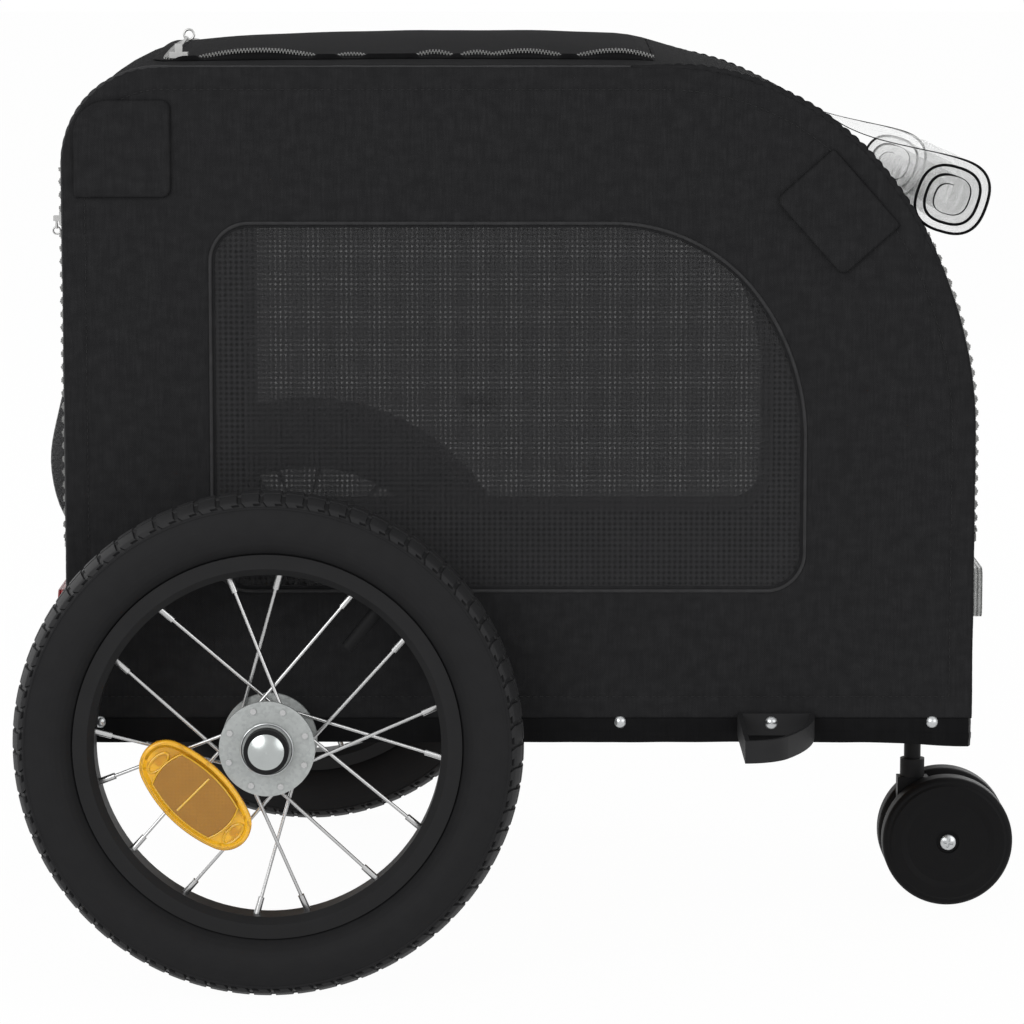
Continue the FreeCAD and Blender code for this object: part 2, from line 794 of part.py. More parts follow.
def side_panels():
    """Side panels with their window openings, mesh, piping and the hem below."""
    inner = "half_width - fabric"
    outlines = [cabin_path("0", "hem_top"), window_path("0")]
    panel = pad("side_panel_whole", "XZ_Plane", outlines, inner, "fabric")
    right = keep(cut("side_panel_right", panel, axle_hole("panel_axle_hole")))
    keep(mirror("side_panel_left", right))
    mesh = pad("window_mesh_right", "XZ_Plane", [window_path("-mesh_lap")], f"{inner} - mesh_sheet", "mesh_sheet")
    keep(pair("window_meshes", mesh))
    edges = [window_path("0"), window_path("piping_width")]
    piping = pad("window_piping_right", "XZ_Plane", edges, inner, "fabric + piping_proud")
    keep(pair("window_piping", piping))
    low = ("cabin_rear", "-half_width", "hem_bottom")
    high = ("cabin_front", "-rail_outer", "hem_top")
    strip = cut("hem_screwed", box("hem_side_block", low, high), screw_holes("hem_screw_holes"))
    side = cut("hem_right", strip, axle_hole("hem_axle_hole"))
    low = ("cabin_rear", "-rail_outer", "hem_bottom")
    rear = box("hem_rear", low, ("cabin_rear + hem_sheet", "rail_outer", "hem_top"))
    low = ("cabin_front - hem_sheet", "-rail_outer", "hem_bottom")
    front = box("hem_front", low, ("cabin_front", "rail_outer", "hem_top"))
    keep(group("hem_bands", side, mirror("hem_left", side), rear, front))


def skin_section(spot, normal, camber):
    """A thin crowned strip across the cabin at one point of its outline."""
    half = size("skin_half")
    wall = size("fabric")
    side = Vec(0, half, 0)
    outer = [spot - side, spot + normal * camber, spot + side]
    inner = [point - normal * wall for point in outer]
    over = Part.Arc(*outer).toShape()
    under = Part.Arc(*reversed(inner)).toShape()
    left = Part.makeLine(outer[2], inner[2])
    right = Part.makeLine(inner[0], outer[0])
    return Part.Wire([over, left, under, right])


def skin(name, stations):
    """A thin sheet lofted through its cross sections."""
    wires = [skin_section(*station) for station in stations]
    return feature(name, Part.makeLoft(wires, True, True))


def arc_stations(centre, radius, first, last, cambers):
    """Stations along an arc of the outline, from one angle to another."""
    stations = []
    for index, camber in enumerate(cambers):
        angle = first + (last - first) * index / (len(cambers) - 1)
        normal = polar(1, angle)
        stations.append((centre + normal * radius, normal, camber))
    return stations


def front_bends():
    """Centres and radii of the two front arcs, and the angle where they meet."""
    first = size("front_top_radius")
    rise = size("front_arc_rise")
    run = size("front_arc_run")
    second = (run**2 + (rise - first) ** 2 - first**2) / (2 * (run - first))
    upper = Vec(size("arc_start_x"), 0, size("cabin_top") - first)
    lower = Vec(size("cabin_front") - second, 0, size("arc_end_z"))
    meeting = math.degrees(math.atan2(rise - first, second - run))
    return (upper, first), (lower, second), meeting


def roof_skin():
    """The roof and rear sheet before its openings, from the rear hem to the front seam."""
    crown = size("roof_camber")
    corner = size("rear_corner_radius")
    rear = size("cabin_rear")
    top = size("cabin_top")
    stations = [(Vec(rear, 0, size("hem_top")), Vec(-1, 0, 0), size("rear_camber"))]
    centre = Vec(rear + corner, 0, top - corner)
    cambers = [crown * share for share in CORNER_CAMBER_SHARES]
    cambers[0] = size("rear_camber")
    stations += arc_stations(centre, corner, HALF_TURN, QUARTER_TURN, cambers)
    start = rear + corner
    straight = size("arc_start_x") - start
    for place_share, camber_share in zip(ROOF_PLACE_SHARES, ROOF_CAMBER_SHARES):
        spot = Vec(start + straight * place_share, 0, top)
        stations.append((spot, Vec(0, 0, 1), crown * camber_share))
    (upper, radius), _, _ = front_bends()
    cambers = [crown * share for share in FRONT_CAMBER_SHARES]
    step = (QUARTER_TURN - SEAM_ANGLE) / len(cambers)
    stations += arc_stations(upper, radius, QUARTER_TURN - step, SEAM_ANGLE, cambers)
    return skin("roof_skin", stations)


def roof_and_rear():
    """The roof and rear panel, with the hatch flap and the rear door cut from the same sheet."""
    sheet_body = roof_skin()
    gap = "panel_gap"
    low = ("hatch_rear", "-hatch_width / 2", "cabin_top - overrun")
    high = ("hatch_front", "hatch_width / 2", "cabin_top + roof_camber + overrun")
    hatch = box("hatch_opening", low, high)
    low = ("cabin_rear - overrun", "-door_width / 2", "door_bottom")
    high = ("cabin_rear + overrun", "door_width / 2", "door_top")
    door = box("door_opening", low, high)
    keep(cut("roof_panel", sheet_body, group("roof_openings", hatch, door)))
    low = (f"hatch_rear + {gap}", f"-hatch_width / 2 + {gap}", "cabin_top - overrun")
    high = (f"hatch_front - {gap}", f"hatch_width / 2 - {gap}", "cabin_top + roof_camber + overrun")
    keep(common("roof_flap", sheet_body, box("flap_piece", low, high)))
    low = ("cabin_rear - overrun", f"-door_width / 2 + {gap}", f"door_bottom + {gap}")
    high = ("cabin_rear + overrun", f"door_width / 2 - {gap}", f"door_top - {gap}")
    leaf = common("door_leaf", sheet_body, box("door_piece", low, high))
    low = ("cabin_rear - overrun", "-door_window_width / 2", "door_window_bottom")
    high = ("cabin_rear + overrun", "door_window_width / 2", "door_window_bottom + door_window_height")
    keep(cut("rear_door", leaf, box("door_window", low, high)))


def door_mesh():
    """The mesh pocket that swells out of the rear door."""
    half = size("pocket_width / 2")
    wall = size("mesh_sheet")
    seat = size("cabin_rear - rear_camber - seat_gap")
    wires = []
    for place_share, bulge_share in zip(POCKET_PLACE_SHARES, POCKET_BULGE_SHARES):
        z = size("pocket_bottom") + size("pocket_height") * place_share
        bulge = size("pocket_bulge") * bulge_share
        inner = [Vec(seat, -half, z), Vec(seat - bulge, 0, z), Vec(seat, half, z)]
        outer = [point - Vec(wall, 0, 0) for point in inner]
        near = Part.Arc(*inner).toShape()
        far = Part.Arc(*reversed(outer)).toShape()
        ends = [Part.makeLine(inner[2], outer[2]), Part.makeLine(outer[0], inner[0])]
        wires.append(Part.Wire([near, ends[0], far, ends[1]]))
    keep(feature("rear_door_mesh", Part.makeLoft(wires, True, True)))


def front_panels():
    """The mesh screen over the front arc and the fabric panel below it."""
    (upper, first), (lower, second), meeting = front_bends()
    camber = size("screen_camber")
    gap = math.degrees(size("panel_gap") / first)
    even = [camber] * ARC_STEPS
    stations = arc_stations(upper, first, SEAM_ANGLE - gap, meeting, even)
    stations += arc_stations(lower, second, meeting, 0, even)[1:]
    stations.append((Vec(size("cabin_front"), 0, size("hem_top")), Vec(1, 0, 0), camber))
    sheet_body = skin("front_skin", stations)
    low = ("0", "-half_width", "screen_foot + panel_gap")
    high = ("cabin_front + overrun", "half_width", "cabin_top")
    keep(common("front_screen", sheet_body, box("screen_piece", low, high)))
    low = ("0", "-half_width", "hem_bottom")
    high = ("cabin_front + overrun", "half_width", "screen_foot")
    keep(common("front_lower_panel", sheet_body, box("lower_piece", low, high)))


def least_turn_gap(outside, inside):
    """The least gap from a turn's inner face to the outer face of the turns wound within it, on points."""
    outer_points = [edge.discretize(GAP_POINTS) for edge in outside]
    gaps = []
    for turn, edge in enumerate(inside):
        for point in edge.discretize(GAP_POINTS):
            for later in outer_points[turn + 2 :]:
                gaps += [(point - other).Length for other in later]
    return min(gaps)


def rolled_cover():
    """The clear front cover, rolled up and hanging from the roof seam by its own tail."""
    (upper, first), (lower, second), _ = front_bends()
    sheet_half = size("roll_sheet / 2")
    radius = size("roll_radius") - sheet_half
    step = size("roll_pitch / 2")
    clear = size("screen_camber + seat_gap")
    centre = lower + polar(second + size("roll_radius") + clear, ROLL_ANGLE)
    crown = size("roof_camber") * FRONT_CAMBER_SHARES[-1]
    seam = upper + polar(first + crown + size("seat_gap") + sheet_half, SEAM_ANGLE)
    away = seam - centre
    bearing = math.degrees(math.atan2(away.z, away.x))
    opening = math.degrees(math.acos(radius / away.Length))
    facing = polar(1, bearing - opening)
    outside, inside = [], []
    for edge, shift in ((outside, sheet_half), (inside, -sheet_half)):
        here, reach, toward = centre, radius, facing
        edge.append(Part.makeLine(seam + facing * shift, here + facing * (reach + shift)))
        for _ in range(ROLL_HALF_TURNS):
            side = Vec(toward.z, 0, -toward.x)
            bend = reach + shift
            edge.append(Part.Arc(here + toward * bend, here + side * bend, here - toward * bend).toShape())
            here = here - toward * step
            reach -= step
            toward = toward * -1
    start = Part.makeLine(outside[0].firstVertex().Point, inside[0].firstVertex().Point)
    end = Part.makeLine(outside[-1].lastVertex().Point, inside[-1].lastVertex().Point)
    wire = Part.Wire(Part.__sortEdges__([start, *outside, end, *inside]))
    half = size("half_width - roll_end_gap")
    face = Part.Face(wire)
    face.translate(Vec(0, -half, 0))
    print("rolled cover: least gap between turns", round(least_turn_gap(outside, inside), 2), "mm")
    keep(feature("rolled_cover", face.extrude(Vec(0, 2 * half, 0))))


def corner_flaps():
    """Hook-and-loop flaps over the four corner joints, sewn along their outer edges."""
    low = "rear_flap_bottom"
    high = f"{low} + rear_flap_height"
    right = "rear_flap_x + rear_flap_length"
    outline = [
        ("rear_flap_x", f"{high} - rear_flap_nose", "rear_flap_nose", "cw"),
        ("rear_flap_x + rear_flap_nose", high),
        (f"{right} - flap_corner", high, "flap_corner", "cw"),
        (right, f"{high} - flap_corner"),
        (right, f"{low} + flap_corner", "flap_corner", "cw"),
        (f"{right} - flap_corner", low),
        ("rear_flap_x", low),
    ]
    rear = keep(pad("corner_flap_rear_right", "XZ_Plane", [outline], "flap_y", "flap_sheet"))
    keep(mirror("corner_flap_rear_left", rear))
    half = "front_flap_length / 2"
    depth = "front_flap_depth"
    outline = [
        (f"-{half}", "0"),
        (half, "0"),
        (half, f"-{depth} + flap_corner", "flap_corner", "cw"),
        (f"{half} - flap_corner", f"-{depth}"),
        (f"-{half} + flap_corner", f"-{depth}", "flap_corner", "cw"),
        (f"-{half}", f"-{depth} + flap_corner"),
    ]
    front = keep(pad("corner_flap_front_right", "XZ_Plane", [outline], "flap_y", "flap_sheet"))
    tilt = FreeCAD.Rotation(Vec(0, 1, 0), FRONT_FLAP_TILT)
    place(front, "front_flap_x", "0", "front_flap_height", tilt)
    keep(mirror("corner_flap_front_left", front))


# Fittings on the cabin


def dome_screw(name, x, seat):
    """A dome-headed screw through the hem into the right rail."""
    head = "screw_head_diameter / 2"
    dome = f"(({head})^2 + screw_head_height^2) / (2 * screw_head_height)"
    tip = f"-({seat}) + screw_length"
    outline = [
        (tip, "0"),
        (tip, "screw_diameter / 2"),
        (f"-({seat})", "screw_diameter / 2"),
        (f"-({seat})", head, dome, "ccw"),
        (f"-({seat}) - screw_head_height", "0"),
    ]
    return place(revolve(name, "YZ_Plane", outline, "H_Axis"), x, "0", "screw_z")


def fasteners():
    """The dome screws along the rails and the bolts of the guards."""
    screws = [dome_screw(f"screw_{i}", x, "half_width") for i, x in enumerate(screw_places()[:-1])]
    keep(pair("rail_screws", group("screws_right", *screws)))
    bolt = dome_screw("guard_bolt_right", "guard_bolt_x", "half_width + guard_strip")
    keep(pair("guard_bolts", bolt))


def guard_path(inset):
    """A wheel guard's closed outline seen from above, moved in by an inset."""
    rear = f"guard_rear + ({inset})"
    wall = f"-half_width - ({inset})"
    run = "(guard_reach - half_width)"
    tip = "guard_tip_radius"
    second = f"((guard_length^2 + ({run} - {tip})^2 - {tip}^2) / (2 * (guard_length - {tip})))"
    across = f"(({second} - guard_length) / ({second} - {tip}))"
    out = f"(({run} - {tip}) / ({second} - {tip}))"
    joint_x = f"guard_rear + ({tip} - ({inset})) * {across}"
    joint_y = f"-guard_reach + {tip} - ({tip} - ({inset})) * {out}"
    return [
        (rear, wall),
        (rear, f"-guard_reach + ({inset})", f"{tip} - ({inset})", "ccw"),
        (joint_x, joint_y, f"{second} - ({inset})", "ccw"),
        (f"guard_front - ({inset})", wall),
    ]


def wheel_guards():
    """Flat strip loops ahead of the wheels that turn obstacles outwards."""
    outlines = [guard_path("0"), guard_path("guard_strip")]
    loop = pad("guard_loop", "XY_Plane", outlines, "hem_bottom + guard_rise", "guard_height")
    base = ("guard_bolt_x", "-half_width - guard_strip - overrun", "screw_z")
    hole = rod("guard_hole", "y", base, "screw_diameter / 2 + fit_gap", "guard_strip + 2 * overrun")
    keep(pair("wheel_guards", cut("guard_right", loop, hole)))


def plate_reflectors():
    """Red reflectors on the rear panel and clear ones on the front panel."""
    middle = "-plate_reflector_offset"
    places = (
        ("rear", "cabin_rear - panel_gap - plate_reflector_depth"),
        ("front", "cabin_front + panel_gap + seat_gap"),
    )
    for word, start in places:
        foot = f"{word}_reflector_bottom"
        low = (f"{middle} - plate_reflector_width / 2", foot)
        high = (f"{middle} + plate_reflector_width / 2", f"{foot} + plate_reflector_height")
        outline = rounded(low, high, "plate_reflector_corner")
        plate = pad(f"{word}_reflector_right", "YZ_Plane", [outline], start, "plate_reflector_depth")
        keep(pair(f"{word}_reflectors", plate))


def slider_shape(share):
    """A zip slider along X with two ears and a pin, its underside at the origin, at a share of full size."""
    length, width, height = size("slider_length"), size("slider_width"), size("slider_height")
    base = Part.makeBox(length, width, height, Vec(-length / 2, -width / 2, 0))
    ear, wall, rise = size("ear_length"), size("ear_sheet"), size("ear_height")
    inner = size("pull_eye_width / 2 + seat_gap")
    parts = []
    for side in (inner, -inner - wall):
        parts.append(Part.makeBox(ear, wall, rise, Vec(-ear / 2, side, height)))
    reach = inner + wall
    spot = Vec(0, -reach, size("slider_height + ear_height / 2"))
    parts.append(Part.makeCylinder(size("pin_diameter / 2"), 2 * reach, spot, Vec(0, 1, 0)))
    return base.multiFuse(parts).removeSplitter().scaled(share)


def pull_shape(share):
    """A zip pull along +X from its eye at the origin, with a ring in its tab, at a share of full size."""
    eye, width = size("pull_eye_diameter / 2"), size("pull_eye_width")
    ring = Part.makeCylinder(eye, width, Vec(0, -width / 2, 0), Vec(0, 1, 0))
    length, across, wall = size("pull_length"), size("pull_width"), size("pull_sheet")
    start = size("ear_length")
    neck = Part.makeBox(start, width, wall, Vec(0, -width / 2, -wall / 2))
    tab = Part.makeBox(length - start, across, wall, Vec(start, -across / 2, -wall / 2))
    loop, wire = size("pull_ring_radius"), size("pull_wire_diameter")
    hoop = Part.makeTorus(loop, wire / 2, Vec(length + loop - wire, 0, 0), Vec(0, 1, 0))
    body = ring.multiFuse([neck, tab, hoop]).removeSplitter().scaled(share)
    bore_radius = share * size("pin_diameter / 2") + size("running_gap")
    bore = Part.makeCylinder(bore_radius, 2 * width, Vec(0, -width, 0), Vec(0, 1, 0))
    return body.cut(bore)


def zips():
    """The sliders and pulls of the roof zip and the rear door zip, both on the right side."""
    pivot = size("slider_height + ear_height / 2")
    across = size("hatch_width / 2 + slider_edge_gap + slider_width / 2")
    x = size("cabin_rear + roof_slider_setback")
    inner_edge = across - size("slider_width / 2")
    fall_share = 1 - (inner_edge / size("skin_half")) ** 2
    lift = size("roof_camber") * ROOF_CAMBER_SHARES[0] * fall_share
    spot = Vec(x, -across, size("cabin_top") + lift)
    keep(feature("roof_zip_slider", slider_shape(1), FreeCAD.Placement(spot, FreeCAD.Rotation())))
    tilt = FreeCAD.Rotation(Vec(0, 1, 0), -ROOF_PULL_TILT)
    eye = spot + Vec(0, 0, pivot)
    keep(feature("roof_zip_pull", pull_shape(1), FreeCAD.Placement(eye, tilt)))
    share = size("rear_zip_share")
    across = size("door_width / 2 + slider_edge_gap + rear_zip_share * slider_width / 2")
    spot = Vec(size("cabin_rear - seat_gap - rear_camber / 2"), -across, size("rear_slider_height"))
    upright = FreeCAD.Rotation(Vec(0, 1, 0), -QUARTER_TURN)
    keep(feature("rear_zip_slider", slider_shape(share), FreeCAD.Placement(spot, upright)))
    hanging = FreeCAD.Rotation(Vec(0, 1, 0), QUARTER_TURN)
    eye = spot - Vec(share * pivot, 0, 0)
    keep(feature("rear_zip_pull", pull_shape(share), FreeCAD.Placement(eye, hanging)))


# Road wheels, built round their own centre and then set on the right axle


def at_wheel(thing, rotation=None):
    """Sets a wheel piece on the right wheel's centre."""
    return place(thing, "wheel_x", "-track / 2", "wheel_radius", rotation)


def side_radius(run, rise):
    """Radius of an arc that leaves upright and covers a run and a rise."""
    return f"((({run})^2 + ({rise})^2) / (2 * ({run})))"


def tyre():
    """A hollow tyre with grooves across both shoulders."""
    belly = "tyre_belly_radius"
    lower = side_radius("tyre_half - bead_half", f"{belly} - bead_top")
    upper = side_radius("tyre_half - shoulder_half", f"tyre_shoulder_radius - {belly}")
    rise = "wheel_radius - tyre_shoulder_radius"
    crown = f"((shoulder_half^2 + ({rise})^2) / (2 * ({rise})))"
    inner = "tyre_half - tyre_wall"
    top = "wheel_radius - tyre_tread"
    lip = "bead_top + tyre_wall / 4"
    outline = [
        ("bead_half", "bead_bottom"),
        ("bead_half", "bead_top", lower, "ccw"),
        ("tyre_half", belly, upper, "ccw"),
        ("shoulder_half", "tyre_shoulder_radius", crown, "ccw"),
        ("-shoulder_half", "tyre_shoulder_radius", upper, "ccw"),
        ("-tyre_half", belly, lower, "ccw"),
        ("-bead_half", "bead_top"),
        ("-bead_half", "bead_bottom"),
        ("-bead_inner", "bead_bottom"),
        ("-bead_inner", lip),
        (f"-({inner})", f"{belly} - tyre_wall / 2"),
        ("-shoulder_half + tyre_wall / 2", top),
        ("shoulder_half - tyre_wall / 2", top),
        (inner, f"{belly} - tyre_wall / 2"),
        ("bead_inner", lip),
        ("bead_inner", "bead_bottom"),
    ]
    body = revolve("tyre_right", "YZ_Plane", outline, "H_Axis")
    depth = "tread_groove_depth"
    skirt = "tread_skirt_radius"
    grooves = []
    half_pitch = FULL_TURN / TREAD_COUNT / 2
    for word, sign, start in (("outer", "-", 0), ("inner", "", half_pitch)):
        turn = FreeCAD.Rotation(Vec(1, 0, 0), start)
        sketch = new_sketch(body, f"tread_{word}", "YZ_Plane", "0", turn)
        profile = [
            (f"{sign}(tread_land / 2)", f"wheel_radius - {depth}"),
            (f"{sign}(shoulder_half - {depth} / 2)", f"tyre_shoulder_radius - {depth}"),
            (f"{sign}(tyre_half - {depth})", skirt),
            (f"{sign}(tyre_half + overrun)", skirt),
            (f"{sign}(tyre_half + overrun)", "wheel_radius + overrun"),
            (f"{sign}(tread_land / 2)", "wheel_radius + overrun"),
        ]
        draw(sketch, profile)
        groove = body.newObject("PartDesign::Groove", f"groove_{word}")
        groove.Profile = sketch
        groove.ReferenceAxis = (sketch, ["H_Axis"])
        bind(groove, Angle=f"tread_groove_width / wheel_radius * {HALF_TURN / math.pi}")
        grooves.append(groove)
    pattern = body.newObject("PartDesign::PolarPattern", "tread_pattern")
    pattern.Originals = grooves
    axle_line = [item for item in body.Origin.OriginFeatures if item.Role == "Y_Axis"][0]
    pattern.Axis = (axle_line, [""])
    pattern.Angle = FULL_TURN
    pattern.Occurrences = TREAD_COUNT
    body.Tip = pattern
    return at_wheel(body)


def rim():
    """A channel rim with a hole for the valve."""
    edge = "rim_width / 2"
    floor = "rim_floor_width / 2"
    knee = "rim_inner_radius + rim_wall * 2"
    outline = [
        (edge, "rim_edge_radius"),
        (f"{edge} - rim_wall", "rim_edge_radius"),
        (f"{edge} - rim_wall", f"{knee} + rim_wall / 2"),
        (f"{floor} - rim_wall / 2", "rim_inner_radius + rim_wall"),
        (f"-{floor} + rim_wall / 2", "rim_inner_radius + rim_wall"),
        (f"-{edge} + rim_wall", f"{knee} + rim_wall / 2"),
        (f"-{edge} + rim_wall", "rim_edge_radius"),
        (f"-{edge}", "rim_edge_radius"),
        (f"-{edge}", knee),
        (f"-{floor}", "rim_inner_radius"),
        (floor, "rim_inner_radius"),
        (edge, knee),
    ]
    channel = at_wheel(revolve("rim_channel", "YZ_Plane", outline, "H_Axis"))
    return cut("rim_right", channel, valve_rod("rim_valve_hole", "valve_diameter / 2 + fit_gap"))


def valve_rod(name, radius):
    """A bar along the valve from its inner end to the middle of the inner tube."""
    bar = doc.addObject("Part::Cylinder", name)
    bind(bar, Radius=radius, Height="tube_ring_radius - valve_reach")
    across = math.cos(math.radians(VALVE_ANGLE))
    up = math.sin(math.radians(VALVE_ANGLE))
    turn = FreeCAD.Rotation(Vec(0, 0, 1), Vec(across, 0, up))
    return place(bar, f"wheel_x + {across} * valve_reach", "-track / 2", f"wheel_radius + {up} * valve_reach", turn)


def inner_tube():
    """The inner tube with its valve stem."""
    ring = doc.addObject("Part::Torus", "inner_tube_ring")
    bind(ring, Radius1="tube_ring_radius", Radius2="tube_section_diameter / 2")
    at_wheel(ring, FreeCAD.Rotation(Vec(1, 0, 0), QUARTER_TURN))
    return fuse("inner_tube_right", ring, valve_rod("valve_stem", "valve_diameter / 2"))


def spoke_ends(rim_angle, hub_angle, side, layer):
    """Where a spoke's line starts behind its flange and ends in the rim, from the wheel's centre."""
    depth = size("flange_back - spoke_diameter / 2 - fit_gap") - layer * size("spoke_layer")
    start = polar(size("spoke_circle_radius"), hub_angle) + Vec(0, -side * depth, 0)
    end = polar(size("rim_inner_radius"), rim_angle)
    return start, end


def all_spokes():
    """Every spoke of one wheel, as the four of the pattern turned round the hub."""
    for turn in range(SPOKE_REPEATS):
        shift = turn * FULL_TURN / SPOKE_REPEATS
        for rim_angle, hub_angle, side, layer in SPOKES:
            yield rim_angle + shift, hub_angle + shift, side, layer


def spoke(rim_angle, hub_angle, side, layer, bound):
    """One spoke with its bent head in the flange and its nipple at the rim."""
    start, end = spoke_ends(rim_angle, hub_angle, side, layer)
    line = end - start
    radius = size("spoke_diameter / 2")
    past = size("nipple_length / 2")
    wire = Part.makeCylinder(radius, line.Length + past, start, line)
    heading = Vec(line).normalize()
    nipple_start = end - heading * size("nipple_length")
    nipple = Part.makeCylinder(size("nipple_diameter / 2"), size("nipple_length") + past, nipple_start, line)
    face = size("flange_face + fit_gap")
    out = Vec(0, -side, 0)
    elbow = Part.makeCylinder(radius, face - abs(start.y), start, out)
    ball = Part.makeSphere(radius, start)
    seat = Vec(start.x, -side * face, start.z)
    head = Part.makeCylinder(size("spoke_head_diameter / 2"), size("spoke_head_height"), seat, out)
    return wire.multiFuse([nipple, elbow, ball, head]).common(bound).removeSplitter()


def spokes():
    """All spokes of the right wheel as separate solids."""
    width = size("rim_width")
    inside = size("rim_inner_radius - running_gap")
    bound = Part.makeCylinder(inside, 2 * width, Vec(0, -width, 0), Vec(0, 1, 0))
    solids = []
    for item in all_spokes():
        solids.extend(spoke(*item, bound).Solids)
    centre = Vec(size("wheel_x"), -size("track / 2"), size("wheel_radius"))
    return feature("spokes_right", Part.makeCompound(solids), FreeCAD.Placement(centre, FreeCAD.Rotation()))


def hub():
    """A hub shell with two drilled flanges and a bearing seat at each end."""
    boss = "hub_boss_diameter / 2"
    barrel = "hub_barrel_diameter / 2"
    flange = "flange_diameter / 2"
    seat = "bearing_diameter / 2 + running_gap"
    bore = "hub_bore_diameter / 2"
    step = "hub_half - bearing_width"
    outline = [
        ("-hub_half", boss),
        ("-flange_face", boss),
        ("-flange_face", flange),
        ("-flange_back", flange),
        ("-flange_back", barrel),
        ("flange_back", barrel),
        ("flange_back", flange),
        ("flange_face", flange),
        ("flange_face", boss),
        ("hub_half", boss),
        ("hub_half", seat),
        (step, seat),
        (step, bore),
        (f"-({step})", bore),
        (f"-({step})", seat),
        ("-hub_half", seat),
    ]
    shell = at_wheel(revolve("hub_turned", "YZ_Plane", outline, "H_Axis"))
    radius = size("spoke_diameter / 2 + fit_gap")
    wall = size("flange_thickness")
    drills = []
    for _, hub_angle, side, _ in all_spokes():
        spot = polar(size("spoke_circle_radius"), hub_angle) + Vec(0, -side * size("flange_back") + side * wall, 0)
        drills.append(Part.makeCylinder(radius, 3 * wall, spot, Vec(0, -side, 0)))
    centre = Vec(size("wheel_x"), -size("track / 2"), size("wheel_radius"))
    tool = feature("flange_drills", Part.makeCompound(drills), FreeCAD.Placement(centre, FreeCAD.Rotation()))
    return cut("hub_shell_right", shell, tool)


def bearings():
    """The two ball bearings of a hub, each a closed ring."""
    rings = []
    for word, start in (("outer", "-track / 2 - hub_half"), ("inner", "-track / 2 + hub_half - bearing_width")):
        base = ("wheel_x", start, "wheel_radius")
        ring = rod(f"bearing_{word}_ring", "y", base, "bearing_diameter / 2", "bearing_width")
        hole = rod(f"bearing_{word}_hole", "y", base, "axle_bore", "bearing_width")
        rings.append(cut(f"bearing_{word}", ring, hole))
    return group("hub_bearings_right", *rings)


def amber_outline(inset):
    """The oval of the spoke reflector about its own middle, moved in by an inset."""
    half = f"(amber_length / 2 - {inset})"
    wide = f"(amber_width / 2 - {inset})"
    end = f"(amber_end_radius - {inset})"
    flat = f"({half} - {end})"
    side = f"(({flat}^2 + {wide}^2 - {end}^2) / (2 * ({wide} - {end})))"
    joint_x = f"({flat} + {end} * {flat} / ({side} - {end}))"
    joint_z = f"({end} * ({side} - {wide}) / ({side} - {end}))"
    return [
        (f"-{half}", "0", end, "cw"),
        (f"-{joint_x}", joint_z, side, "cw"),
        (joint_x, joint_z, end, "cw"),
        (half, "0", end, "cw"),
        (joint_x, f"-{joint_z}", side, "cw"),
        (f"-{joint_x}", f"-{joint_z}", end, "cw"),
    ]


def amber_reflector():
    """An oval reflector clipped to two spokes on the outer side, its lens proud of its border."""
    across = math.cos(math.radians(AMBER_ANGLE))
    up = math.sin(math.radians(AMBER_ANGLE))
    x = f"wheel_x + {across} * amber_radius"
    z = f"wheel_radius + {up} * amber_radius"
    turn = FreeCAD.Rotation(Vec(0, 1, 0), AMBER_TILT)
    plates = []
    for word, inset, depth in (
        ("border", "0", "amber_thickness - amber_edge"),
        ("lens", "amber_border", "amber_thickness"),
    ):
        plate = pad(f"amber_{word}", "XZ_Plane", [amber_outline(inset)], "amber_standoff", depth)
        plates.append(place(plate, x, "-track / 2", z, turn))
    posts = []
    quarter = FULL_TURN / SPOKE_REPEATS
    clips = ((SPOKES[0], 1, UPPER_POST_SHARE), (SPOKES[1], 2, LOWER_POST_SHARE))
    for item, turns, share in clips:
        turned = (item[0] + turns * quarter, item[1] + turns * quarter, item[2], item[3])
        start, end = spoke_ends(*turned)
        spot = start + (end - start) * share
        foot = abs(spot.y) - size("spoke_diameter")
        base = Vec(spot.x, -foot, spot.z)
        length = size("amber_standoff + amber_edge") - foot
        post = Part.makeCylinder(size("amber_post_diameter / 2"), length, base, Vec(0, -1, 0))
        grip = size("spoke_diameter / 2 + fit_gap")
        posts.append(post.cut(Part.makeCylinder(grip, (end - start).Length, start, end - start)))
    centre = Vec(size("wheel_x"), -size("track / 2"), size("wheel_radius"))
    clip = feature("amber_posts", Part.makeCompound(posts), FreeCAD.Placement(centre, FreeCAD.Rotation()))
    return fuse("spoke_reflector_right", *plates, clip)


def road_wheels():
    """Both wheels, the left one the mirror of the right."""
    for make in (tyre, inner_tube, rim, spokes, hub, bearings, amber_reflector):
        right = keep(make())
        keep(mirror(right.Name.replace("_right", "_left"), right))


